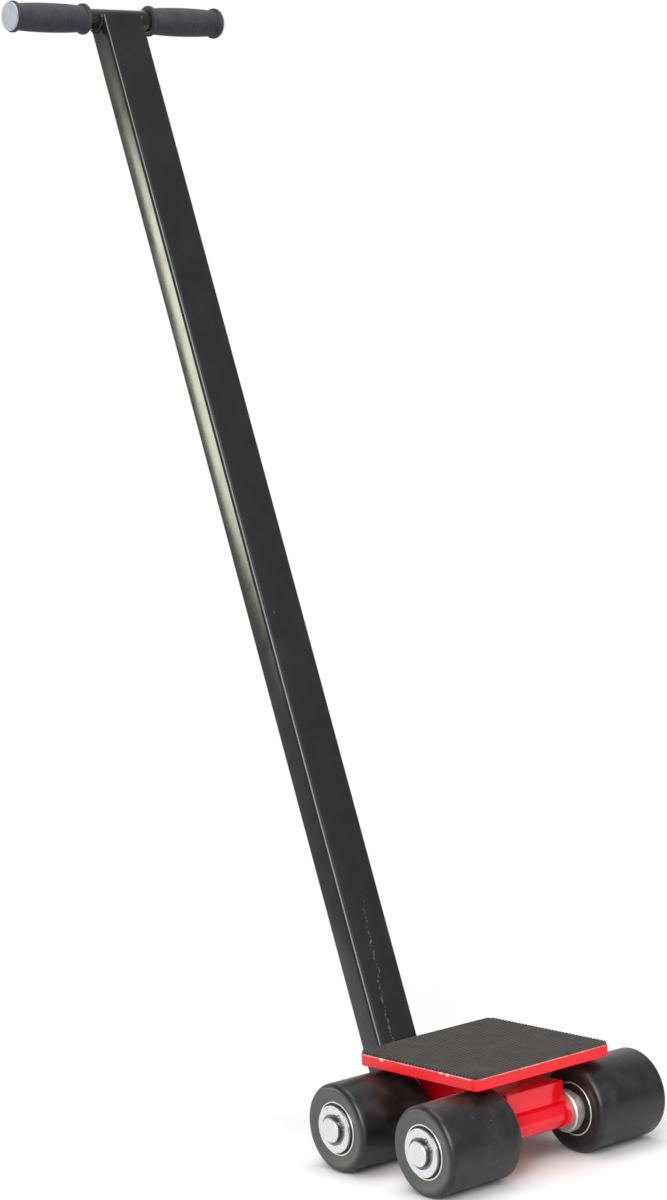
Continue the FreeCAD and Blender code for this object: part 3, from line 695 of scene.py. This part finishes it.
def fluted_pad(material):
    """Ribbed mat with rounded corners: one sheet whose ribs run across the plate and end at its sides."""
    sizes = {
        "Width": pad_high.x - pad_low.x,
        "Corner": PAD_CORNER_RADIUS,
        "Base": pad_high.z - pad_low.z - PAD_RIB_HEIGHT,
        "Bottom": pad_low.z,
        "Rib height": PAD_RIB_HEIGHT,
        "Ribs": pad_ribs,
        "Samples": PAD_RIB_SAMPLES,
        "Material": material,
    }
    tree, inputs = geometry_tree("fluted_pad", sizes)
    rows = node(
        tree, "ShaderNodeMath", {0: inputs["Ribs"], 1: inputs["Samples"], 2: 1.0}, operation="MULTIPLY_ADD"
    )
    sheet = node(
        tree,
        "GeometryNodeMeshGrid",
        {"Size X": inputs["Width"], "Size Y": inputs["Width"], "Vertices X": 2, "Vertices Y": rows},
    )

    # Each row of the sheet reaches to the pad's side, and less far at the corners
    apart = node(tree, "ShaderNodeSeparateXYZ", {"Vector": node(tree, "GeometryNodeInputPosition")})
    half = node(tree, "ShaderNodeMath", {0: inputs["Width"], 1: 0.5}, operation="MULTIPLY")
    straight = node(tree, "ShaderNodeMath", {0: half, 1: inputs["Corner"]}, operation="SUBTRACT")
    row = node(tree, "ShaderNodeMath", {0: apart.outputs["Y"]}, operation="ABSOLUTE")
    past = node(tree, "ShaderNodeMath", {0: row, 1: straight}, operation="SUBTRACT")
    rounding = quarter_round(tree, inputs["Corner"], past)
    reach = node(tree, "ShaderNodeMath", {0: straight, 1: rounding}, operation="ADD")
    hand = node(tree, "ShaderNodeMath", {0: apart.outputs["X"]}, operation="SIGN")
    edge = node(tree, "ShaderNodeMath", {0: hand, 1: reach}, operation="MULTIPLY")
    outline = node(
        tree, "ShaderNodeCombineXYZ", {"X": edge, "Y": apart.outputs["Y"], "Z": inputs["Bottom"]}
    )
    sheet = node(tree, "GeometryNodeSetPosition", {"Geometry": sheet, "Position": outline})

    # A flat underside, and a top that is raised and then lifted into ribs
    under = node(tree, "GeometryNodeFlipFaces", {"Mesh": sheet})
    raised = node(
        tree,
        "GeometryNodeExtrudeMesh",
        {"Mesh": sheet, "Offset": (0, 0, 1), "Offset Scale": inputs["Base"], "Individual": False},
    )
    share = node(tree, "ShaderNodeMath", {0: apart.outputs["Y"], 1: inputs["Width"]}, operation="DIVIDE")
    count = node(tree, "ShaderNodeMath", {0: share, 1: inputs["Ribs"]}, operation="MULTIPLY")
    crown = node(tree, "ShaderNodeMath", {0: rib_wave(tree, count), 1: RIB_POWER}, operation="POWER")
    lift = node(tree, "ShaderNodeMath", {0: crown, 1: inputs["Rib height"]}, operation="MULTIPLY")
    upward = node(tree, "ShaderNodeCombineXYZ", {"Z": lift})
    ribs = node(
        tree,
        "GeometryNodeSetPosition",
        {"Geometry": raised, "Selection": raised.outputs["Top"], "Offset": upward},
    )
    whole = node(tree, "GeometryNodeJoinGeometry", {"Geometry": ribs})
    tree.links.new(under.outputs["Mesh"], whole.inputs["Geometry"])
    whole = node(tree, "GeometryNodeMergeByDistance", {"Geometry": whole, "Distance": MERGE_DISTANCE})
    finished(tree, whole, inputs)
    return grown("fluted_pad", tree, sizes)


def grip_flange(tree, inputs, end):
    """Radius of a grip's flange with both its edges rounded, by the distance from the grip's nearer end."""
    inner = node(tree, "ShaderNodeMath", {0: inputs["Flange width"], 1: end}, operation="SUBTRACT")
    rim = node(tree, "ShaderNodeMath", {0: end, 1: inner}, operation="MINIMUM")
    short = node(tree, "ShaderNodeMath", {0: inputs["Fillet"], 1: rim}, operation="SUBTRACT")
    rounding = quarter_round(tree, inputs["Fillet"], short)
    flange = node(
        tree, "ShaderNodeMath", {0: inputs["Flange radius"], 1: inputs["Fillet"]}, operation="SUBTRACT"
    )
    return node(tree, "ShaderNodeMath", {0: flange, 1: rounding}, operation="ADD")


def grip_barrel(tree, inputs, end):
    """Radius of a grip's barrel, widest in its middle, with ribs sunk into it."""
    half = node(tree, "ShaderNodeMath", {0: inputs["Length"], 1: 0.5}, operation="MULTIPLY")
    middle = node(tree, "ShaderNodeMath", {0: end, 1: half}, operation="DIVIDE")
    middle = node(tree, "ShaderNodeMath", {0: 1.0, 1: middle}, operation="SUBTRACT")
    middle = node(tree, "ShaderNodeMath", {0: middle, 1: middle}, operation="MULTIPLY")
    barrel = node(
        tree,
        "ShaderNodeMapRange",
        {"Value": middle, "To Min": inputs["Middle radius"], "To Max": inputs["End radius"]},
    )
    count = node(tree, "ShaderNodeMath", {0: end, 1: inputs["Rib pitch"]}, operation="DIVIDE")
    crown = node(tree, "ShaderNodeMath", {0: rib_wave(tree, count), 1: RIB_POWER}, operation="POWER")
    sunk = node(tree, "ShaderNodeMath", {0: 1.0, 1: crown}, operation="SUBTRACT")
    sunk = node(tree, "ShaderNodeMath", {0: sunk, 1: inputs["Rib depth"]}, operation="MULTIPLY")
    return node(tree, "ShaderNodeMath", {0: barrel, 1: sunk}, operation="SUBTRACT")


def grip_tree(sizes):
    """Ribbed grip, turned about the T-bar's line: a crowned barrel of fine rings between two rounded flanges.
    Its rows start in the bore, run along the outside to the far end, and go back through the bore."""
    tree, inputs = geometry_tree("ribbed_grip", sizes)
    around = node(tree, "ShaderNodeMath", {0: inputs["Sides"], 1: 1.0}, operation="ADD")
    sheet = node(
        tree,
        "GeometryNodeMeshGrid",
        {"Size X": 1.0, "Size Y": 1.0, "Vertices X": inputs["Rows"], "Vertices Y": around},
    )

    # Number of each row, its place along the grip, and its distance from the nearer end
    apart = node(tree, "ShaderNodeSeparateXYZ", {"Vector": node(tree, "GeometryNodeInputPosition")})
    last = node(tree, "ShaderNodeMath", {0: inputs["Rows"], 1: 1.0}, operation="SUBTRACT")
    share = node(tree, "ShaderNodeMath", {0: apart.outputs["X"], 1: 0.5}, operation="ADD")
    row = node(tree, "ShaderNodeMath", {0: share, 1: last}, operation="MULTIPLY")
    outer_last = node(tree, "ShaderNodeMath", {0: last, 1: 2.0}, operation="SUBTRACT")
    step = node(tree, "ShaderNodeMapRange", {"Value": row, "From Min": 1.0, "From Max": outer_last})
    place = node(tree, "ShaderNodeMath", {0: step, 1: inputs["Length"]}, operation="MULTIPLY")
    back = node(tree, "ShaderNodeMath", {0: inputs["Length"], 1: place}, operation="SUBTRACT")
    end = node(tree, "ShaderNodeMath", {0: place, 1: back}, operation="MINIMUM")

    # Outside, a flange at each end and the barrel between them. The first row and the last two lie on the
    # bore, and the very last is back at the start.
    at_end = node(tree, "FunctionNodeCompare", {"A": end, "B": inputs["Flange width"]}, operation="LESS_THAN")
    outside = node(
        tree,
        "GeometryNodeSwitch",
        {"Switch": at_end, "False": grip_barrel(tree, inputs, end), "True": grip_flange(tree, inputs, end)},
        input_type="FLOAT",
    )
    after_first = node(tree, "ShaderNodeMath", {0: row, 1: 0.5}, operation="GREATER_THAN")
    outer_limit = node(tree, "ShaderNodeMath", {0: last, 1: 1.5}, operation="SUBTRACT")
    before_bore = node(tree, "ShaderNodeMath", {0: row, 1: outer_limit}, operation="LESS_THAN")
    shown = node(tree, "ShaderNodeMath", {0: after_first, 1: before_bore}, operation="MULTIPLY")
    radius = node(
        tree,
        "GeometryNodeSwitch",
        {"Switch": shown, "False": inputs["Bore"], "True": outside},
        input_type="FLOAT",
    )
    back_limit = node(tree, "ShaderNodeMath", {0: last, 1: 0.5}, operation="SUBTRACT")
    going_out = node(tree, "ShaderNodeMath", {0: row, 1: back_limit}, operation="LESS_THAN")
    place = node(tree, "ShaderNodeMath", {0: place, 1: going_out}, operation="MULTIPLY")
    place = node(tree, "ShaderNodeMath", {0: place, 1: inputs["Start"]}, operation="ADD")

    # Each row turned about the T-bar's line
    angle = node(tree, "ShaderNodeMath", {0: apart.outputs["Y"], 1: -2 * math.pi}, operation="MULTIPLY")
    cosine = node(tree, "ShaderNodeMath", {0: angle}, operation="COSINE")
    sine = node(tree, "ShaderNodeMath", {0: angle}, operation="SINE")
    turned_y = node(tree, "ShaderNodeMath", {0: radius, 1: cosine}, operation="MULTIPLY")
    turned_z = node(tree, "ShaderNodeMath", {0: radius, 1: sine}, operation="MULTIPLY")
    turned = node(tree, "ShaderNodeCombineXYZ", {"X": place, "Y": turned_y, "Z": turned_z})
    skin = node(
        tree, "GeometryNodeSetPosition", {"Geometry": sheet, "Position": turned, "Offset": tbar_centre}
    )
    closed = node(tree, "GeometryNodeMergeByDistance", {"Geometry": skin, "Distance": MERGE_DISTANCE})
    finished(tree, closed, inputs)
    return tree


def ribbed_grip(side, material):
    """One grip, in the place of its solid."""
    low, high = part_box(side + "_grip")
    length = high.x - low.x
    sizes = {
        "Start": low.x,
        "Length": length,
        "Bore": tbar_radius + GRIP_BORE_CLEARANCE,
        "End radius": GRIP_END_RADIUS,
        "Middle radius": GRIP_MIDDLE_RADIUS,
        "Flange radius": (high.z - low.z) / 2,
        "Flange width": GRIP_FLANGE_WIDTH,
        "Fillet": GRIP_FLANGE_FILLET,
        "Rib pitch": GRIP_RIB_PITCH,
        "Rib depth": GRIP_RIB_DEPTH,
        "Rows": round(length / GRIP_ROW_SPACING),
        "Sides": GRIP_SIDES,
        "Material": material,
    }
    return grown(side + "_ribbed_grip", grip_tree(sizes), sizes)


def weld_bead(name, seams, radius, material):
    """Painted weld beads along seams: round beads with the ripples of stacked puddles, thin at both ends."""
    sizes = {"Bead": radius, "Ripple": BEAD_RIPPLE_PITCH, "Share": BEAD_RIPPLE_SHARE, "Material": material}
    tree, inputs = geometry_tree(name, sizes)
    spacing = node(tree, "ShaderNodeMath", {0: inputs["Ripple"], 1: BEAD_RIPPLE_POINTS}, operation="DIVIDE")
    path = node(
        tree, "GeometryNodeResampleCurve", {"Curve": inputs["Geometry"], "Length": spacing}, mode="LENGTH"
    )
    run = node(tree, "GeometryNodeSplineParameter").outputs["Length"]
    total = node(tree, "GeometryNodeSplineLength").outputs["Length"]
    puddle = node(tree, "ShaderNodeMath", {0: run, 1: inputs["Ripple"]}, operation="DIVIDE")
    puddle = node(tree, "ShaderNodeMath", {0: puddle}, operation="FRACT")
    ripple = node(tree, "ShaderNodeMath", {0: puddle, 1: inputs["Share"]}, operation="MULTIPLY")
    position = node(tree, "GeometryNodeInputPosition")
    uneven = node(tree, "ShaderNodeTexNoise", {"Vector": position, "Scale": 1 / BEAD_LUMP, "Detail": 1.0})
    swell = node(
        tree,
        "ShaderNodeMapRange",
        {"Value": uneven, **NOISE_SPAN, "To Min": BEAD_THIN_SHARE, "To Max": 1.0},
    )
    fat = node(tree, "ShaderNodeMath", {0: swell, 1: ripple}, operation="SUBTRACT")
    rest = node(tree, "ShaderNodeMath", {0: total, 1: run}, operation="SUBTRACT")
    tip = node(tree, "ShaderNodeMath", {0: run, 1: rest}, operation="MINIMUM")
    taper = node(
        tree, "ShaderNodeMapRange", {"Value": tip, "From Max": inputs["Bead"], "To Min": BEAD_TIP_SHARE}
    )
    scale = node(tree, "ShaderNodeMath", {0: fat, 1: taper}, operation="MULTIPLY")
    ring = node(
        tree, "GeometryNodeCurvePrimitiveCircle", {"Resolution": BEAD_SIDES, "Radius": inputs["Bead"]}
    )
    bead = node(
        tree,
        "GeometryNodeCurveToMesh",
        {"Curve": path, "Profile Curve": ring, "Scale": scale, "Fill Caps": True},
    )
    finished(tree, bead, inputs)
    curves = bpy.data.curves.new(name + "_seams", "CURVE")
    curves.dimensions = "3D"
    for seam in seams:
        spline = curves.splines.new("POLY")
        spline.points.add(len(seam) - 1)
        for point, spot in zip(spline.points, seam):
            point.co = (*spot, 1.0)
    return grown(name, tree, sizes, curves)


def arc(centre, first_axis, second_axis, radius, start, end):
    """Points along an arc about a centre, from one angle to another in degrees."""
    points = []
    for step in range(ARC_STEPS + 1):
        angle = math.radians(start + (end - start) * step / ARC_STEPS)
        points.append(centre + radius * (math.cos(angle) * first_axis + math.sin(angle) * second_axis))
    return points


def chassis_seams():
    """Where the chassis is welded: axle tubes and kingpin block under the bar, and lugs on the front tube
    and bar."""
    seams = []
    standoff = SEAM_STANDOFF_SHARE * CHASSIS_BEAD
    under_bar = bar_low.z - standoff
    lug_inner = lug_low.x - standoff
    drop = axle_place.z - bar_low.z
    seat = axle_place.y - math.sqrt(axle_tube_radius ** 2 - drop ** 2) - standoff
    for end, reach in ((-1, bar_high.x), (1, lug_inner)):
        seams.append([Vector((x, end * seat, under_bar)) for x in (-reach, reach)])
        block_end = end * (block_high.y + standoff)
        block_reach = block_high.x - BLOCK_CORNER_RADIUS
        seams.append([Vector((x, block_end, under_bar)) for x in (-block_reach, block_reach)])
        block_side = end * (block_high.x + standoff)
        side_reach = block_high.y - BLOCK_CORNER_RADIUS
        seams.append([Vector((block_side, y, under_bar)) for y in (-side_reach, side_reach)])
    upward = Vector((0, 0, 1))
    forward = Vector((0, 1, 0))
    bar_end = bar_high.y + standoff
    lap = (bar_low.z, bar_low.z + LUG_LAP)
    for side in (-1, 1):
        centre = Vector((side * lug_inner, axle_place.y, axle_place.z))
        seams.append(arc(centre, forward, upward, axle_tube_radius + standoff, *LUG_SEAM_ANGLES))
        seams.append([Vector((side * lug_inner, bar_end, z)) for z in lap])
    return seams


def drawbar_seams():
    """Where the drawbar is welded: round the T-bar on both sides, and along the tube's top edges."""
    seams = []
    seat_radius = tbar_radius + SEAM_STANDOFF_SHARE * DRAWBAR_BEAD
    tube_side = drawbar_half_width + TUBE_SIDE_STANDOFF_SHARE * DRAWBAR_BEAD
    top_edge = tube_half_depth - TUBE_TOP_INSET_SHARE * DRAWBAR_BEAD
    top_reach = drawbar_half_width - TUBE_TOP_END_SHARE * DRAWBAR_BEAD
    for side in (-1, 1):
        centre = Vector((side * tube_side, 0, drawbar_reach))
        seams.append(arc(centre, Vector((0, 1, 0)), Vector((0, 0, 1)), seat_radius, *TBAR_SEAM_ANGLES))
        seams.append([Vector((x, side * top_edge, tube_top)) for x in (-top_reach, top_reach)])
    return [[drawbar_frame @ point for point in seam] for seam in seams]


def bolt_thread(material):
    """Thread on the bolt's tip, past the nut."""
    sizes = {
        "Start": nut_high.x,
        "Length": bolt_high.x - nut_high.x - THREAD_PITCH,
        "Radius": BOLT_RADIUS,
        "Pitch": THREAD_PITCH,
        "Depth": THREAD_DEPTH,
        "Material": material,
    }
    tree, inputs = geometry_tree("bolt_thread", sizes)
    turns = node(tree, "ShaderNodeMath", {0: inputs["Length"], 1: inputs["Pitch"]}, operation="DIVIDE")
    helix = node(
        tree,
        "GeometryNodeCurveSpiral",
        {
            "Resolution": THREAD_STEPS,
            "Rotations": turns,
            "Start Radius": inputs["Radius"],
            "End Radius": inputs["Radius"],
            "Height": inputs["Length"],
        },
    )
    start = node(tree, "ShaderNodeCombineXYZ", {"X": inputs["Start"], "Y": hinge.y, "Z": hinge.z})
    laid = node(
        tree,
        "GeometryNodeTransform",
        {"Geometry": helix, "Translation": start, "Rotation": (0, math.pi / 2, 0)},
    )
    ridge = node(
        tree, "GeometryNodeCurvePrimitiveCircle", {"Resolution": THREAD_SIDES, "Radius": inputs["Depth"]}
    )
    thread = node(
        tree, "GeometryNodeCurveToMesh", {"Curve": laid, "Profile Curve": ridge, "Fill Caps": True}
    )
    finished(tree, thread, inputs)
    return grown("bolt_thread", tree, sizes)


# Finishes by material slot
finishes = {
    "red_paint": red_enamel("sprayed_red_enamel", smooth=0.07, rough=0.14, knocked_edge=False),
    "black_paint": black_enamel("stoved_black_enamel", scuffed=False),
    "black_nylon": turned_nylon("turned_black_nylon"),
    "pad_rubber": fluted_rubber("moulded_mat_rubber"),
    "zinc_steel": turned_zinc("turned_zinc_plate"),
    # Lightly blued spring steel: blue-grey, oiled.
    "spring_steel": plain_surface(
        "blued_spring_steel", "#5f646c", "#80858d",
        patch=4 * MM, smooth=0.3, rough=0.42, relief=0.1, Metallic=1.0,
    ),
    # Ground bearing steel: bright, smooth and a little warm.
    "bearing_steel": plain_surface(
        "ground_bearing_steel", "#e0dcd6", "#eeebe6",
        patch=6 * MM, smooth=0.35, rough=0.48, relief=0.05, Metallic=0.7,
    ),
    # Moulded glass-filled nylon: cream, dull.
    "cage_nylon": plain_surface(
        "moulded_cage_nylon", "#b9a985", "#c8b997", patch=5 * MM, smooth=0.5, rough=0.6, relief=0.1
    ),
    # Moulded nitrile rubber: black, oily satin.
    "seal_rubber": plain_surface(
        "moulded_seal_rubber", "#131313", "#1d1d1d", patch=5 * MM, smooth=0.4, rough=0.55, relief=0.1
    ),
    # Moulded grip rubber: charcoal, soft sheen.
    "grip_rubber": plain_surface(
        "moulded_grip_rubber", "#3a383e", "#47454b",
        patch=12 * MM, smooth=0.45, rough=0.58, relief=0.2, Specular_IOR_Level=0.15,
    ),
    # Moulded polyethylene: pale grey, a little mottled and waxy.
    "cap_plastic": plain_surface(
        "moulded_cap_polyethylene", "#9ba3aa", "#b4bbc2", patch=5 * MM, smooth=0.4, rough=0.5, relief=0.1
    ),
}
special_finishes = {
    "load_plate": red_enamel("knocked_red_enamel", smooth=0.3, rough=0.4, knocked_edge=True),
    "drawbar_tube": black_enamel("scuffed_black_enamel", scuffed=True),
    # Dull zinc plating: a soft grey with a greenish cast, rougher than the faced ends.
    "axle_spacers": plain_surface(
        "dull_zinc_plate", "#bcbeb5", "#d2d3cb",
        patch=6 * MM, smooth=0.34, rough=0.46, relief=0.15, Metallic=0.75,
    ),
}
for part in frame["record"]["subparts"]:
    finish = special_finishes.get(part["node"], finishes[part["material_slot"]])
    frame["nodes"][part["node"]].material_slots[0].material = finish

# Pieces modelled here, each on its body
pad = fluted_pad(finishes["pad_rubber"])
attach(pad, "turntable")
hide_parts("rubber_pad")
for side in ("left", "right"):
    grip = ribbed_grip(side, finishes["grip_rubber"])
    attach(grip, "drawbar")
    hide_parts(side + "_grip")
chassis_welds = weld_bead("chassis_welds", chassis_seams(), CHASSIS_BEAD, finishes["red_paint"])
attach(chassis_welds, "chassis")
drawbar_welds = weld_bead("drawbar_welds", drawbar_seams(), DRAWBAR_BEAD, finishes["black_paint"])
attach(drawbar_welds, "drawbar")
thread = bolt_thread(finishes["zinc_steel"])
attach(thread, "chassis")

# Studio: a pale floor that fades to white, a white background in a dimmer room, and soft lamps
FLOOR_RADIUS = 1.1
FLOOR_SIDES = 96
FLOOR_FADE_START = 0.2
FLOOR_FADE_END = 1.0
HIGH_AMBIENT = 0.5
LOW_AMBIENT = 0.15
ROOM_STRENGTH = 0.4
# Level direction of the background behind the skate
BACKGROUND_LINE = (0.62, 0.78, 0.0)
# Where the key lamp and the strips point
LAMP_AIM = (0, 0.1, 0.4)


def pale_floor():
    """Round floor under the rollers: matt white near the skate, where shadows fall, and pure white far
    out."""
    mesh = bpy.data.meshes.new("floor")
    rim = []
    for step in range(FLOOR_SIDES):
        angle = 2 * math.pi * step / FLOOR_SIDES
        rim.append((FLOOR_RADIUS * math.cos(angle), FLOOR_RADIUS * math.sin(angle), floor_height))
    mesh.from_pydata(rim, [], [range(FLOOR_SIDES)])
    floor = bpy.data.objects.new("floor", mesh)
    bpy.context.scene.collection.objects.link(floor)
    made, tree, shader, place = blank_material("floor_paper", Roughness=0.9, Specular_IOR_Level=0.0)
    shader.inputs["Base Color"].default_value = linear("#f8f8f8")
    flat = node(tree, "ShaderNodeVectorMath", {0: place, 1: (1, 1, 0)}, operation="MULTIPLY")
    distance = node(tree, "ShaderNodeVectorMath", {0: flat}, operation="LENGTH").outputs["Value"]
    fade = node(
        tree,
        "ShaderNodeMapRange",
        {"Value": distance, "From Min": FLOOR_FADE_START, "From Max": FLOOR_FADE_END},
        interpolation_type="SMOOTHSTEP",
    )
    path = node(tree, "ShaderNodeLightPath")
    seen = node(
        tree,
        "ShaderNodeMath",
        {0: path.outputs["Is Camera Ray"], 1: path.outputs["Is Glossy Ray"]},
        operation="MAXIMUM",
    )
    seen = node(
        tree, "ShaderNodeMath", {0: seen, 1: path.outputs["Is Transmission Ray"]}, operation="MAXIMUM"
    )
    share = node(tree, "ShaderNodeMath", {0: fade, 1: seen}, operation="MULTIPLY")
    white = node(tree, "ShaderNodeEmission", {"Strength": 1.0})
    blend = node(tree, "ShaderNodeMixShader", {0: share, 1: shader, 2: white})
    tree.links.new(blend.outputs["Shader"], tree.nodes["Material Output"].inputs["Surface"])
    mesh.materials.append(made)


def white_surroundings():
    """World: white to the eye, white in reflections towards the background and a dimmer room elsewhere, and
    a plain soft light on the object, weaker from below."""
    world = bpy.data.worlds.new("studio")
    bpy.context.scene.world = world
    world.use_nodes = True
    tree = world.node_tree
    path = node(tree, "ShaderNodeLightPath")
    line = node(tree, "ShaderNodeTexCoord").outputs["Generated"]
    facing = node(tree, "ShaderNodeVectorMath", {0: line, 1: BACKGROUND_LINE}, operation="DOT_PRODUCT")
    mirrored = node(
        tree,
        "ShaderNodeMapRange",
        {
            "Value": facing.outputs["Value"],
            "From Min": 0.25,
            "From Max": 0.85,
            "To Min": ROOM_STRENGTH,
            "To Max": 1.0,
        },
    )
    bounced = node(
        tree,
        "ShaderNodeMath",
        {0: path.outputs["Is Glossy Ray"], 1: path.outputs["Is Transmission Ray"]},
        operation="MAXIMUM",
    )
    slope = node(tree, "ShaderNodeSeparateXYZ", {"Vector": line}).outputs["Z"]
    ambient = node(
        tree,
        "ShaderNodeMapRange",
        {"Value": slope, "From Min": -0.3, "From Max": 0.2, "To Min": LOW_AMBIENT, "To Max": HIGH_AMBIENT},
    )
    strength = node(tree, "ShaderNodeMix", {FACTOR: bounced, NUMBER_A: ambient, NUMBER_B: mirrored})
    strength = node(
        tree, "ShaderNodeMath", {0: strength, 1: path.outputs["Is Camera Ray"]}, operation="MAXIMUM"
    )
    background = tree.nodes["Background"]
    background.inputs["Color"].default_value = linear("#ffffff")
    tree.links.new(strength.outputs["Value"], background.inputs["Strength"])


def softbox(name, place, aim, size, watts, colour="#ffffff", mirrored_only=False):
    """A rectangular soft lamp that points at a place. One that is mirrored only lights no matt surface."""
    lamp = bpy.data.lights.new(name, "AREA")
    lamp.shape = "RECTANGLE"
    lamp.size, lamp.size_y = size
    lamp.energy = watts
    lamp.color = linear(colour)[:3]
    holder = bpy.data.objects.new(name, lamp)
    holder.location = place
    holder.rotation_euler = (Vector(aim) - Vector(place)).to_track_quat("-Z", "Y").to_euler()
    holder.visible_camera = False
    holder.visible_diffuse = not mirrored_only
    bpy.context.scene.collection.objects.link(holder)


pale_floor()
white_surroundings()
softbox("key_softbox", place=(-2.4, -1.95, 1.9), aim=LAMP_AIM, size=(1.1, 3.0), watts=76)
softbox("edge_strip", place=(-2.3, -2.1, 1.9), aim=LAMP_AIM, size=(2.0, 3.0), watts=55, mirrored_only=True)
softbox(
    "shoulder_strip", place=(-1.45, -2.9, 1.9), aim=LAMP_AIM, size=(1.5, 2.4), watts=38,
    colour="#eceeff", mirrored_only=True,
)
softbox("fill_softbox", place=(1.1, -2.5, 1.9), aim=(0, 0.2, 0.5), size=(1.0, 2.4), watts=12)
softbox(
    "back_left_softbox", place=(-2.77, 3.3, 0.8), aim=(0, 0.4, 0.5), size=(1.2, 1.0), watts=45,
    colour="#ffffe8",
)
softbox("top_softbox", place=(0, 0.2, 2.8), aim=(0, 0.1, 0.0), size=(2.0, 2.0), watts=36)

# Camera at the photograph's place, above the floor, for a picture 1200 pixels high. Angles in radians.
CAMERA_PLACE = (-1.692603, -1.962883, 0.738774)
CAMERA_YAW = 0.667601
CAMERA_PITCH = -0.077395
CAMERA_ROLL = -0.066775
FOCAL_PIXELS = 2765.845
PICTURE_PIXELS = 1200
SENSOR_WIDTH = 36.0

view_line = Vector((
    math.sin(CAMERA_YAW) * math.cos(CAMERA_PITCH),
    math.cos(CAMERA_YAW) * math.cos(CAMERA_PITCH),
    math.sin(CAMERA_PITCH),
))
level_right = Vector((math.cos(CAMERA_YAW), -math.sin(CAMERA_YAW), 0))
level_up = level_right.cross(view_line)
picture_right = level_right * math.cos(CAMERA_ROLL) + level_up * math.sin(CAMERA_ROLL)
picture_up = level_up * math.cos(CAMERA_ROLL) - level_right * math.sin(CAMERA_ROLL)
lens = bpy.data.cameras.new("camera")
lens.sensor_width = SENSOR_WIDTH
lens.lens = FOCAL_PIXELS / PICTURE_PIXELS * SENSOR_WIDTH
camera = bpy.data.objects.new("camera", lens)
stance = Matrix((picture_right, picture_up, -view_line)).transposed().to_4x4()
stance.translation = Vector(CAMERA_PLACE) + Vector((0, 0, floor_height))
camera.matrix_world = stance
bpy.context.scene.collection.objects.link(camera)
bpy.context.scene.camera = camera
bpy.context.scene.view_settings.view_transform = "Standard"
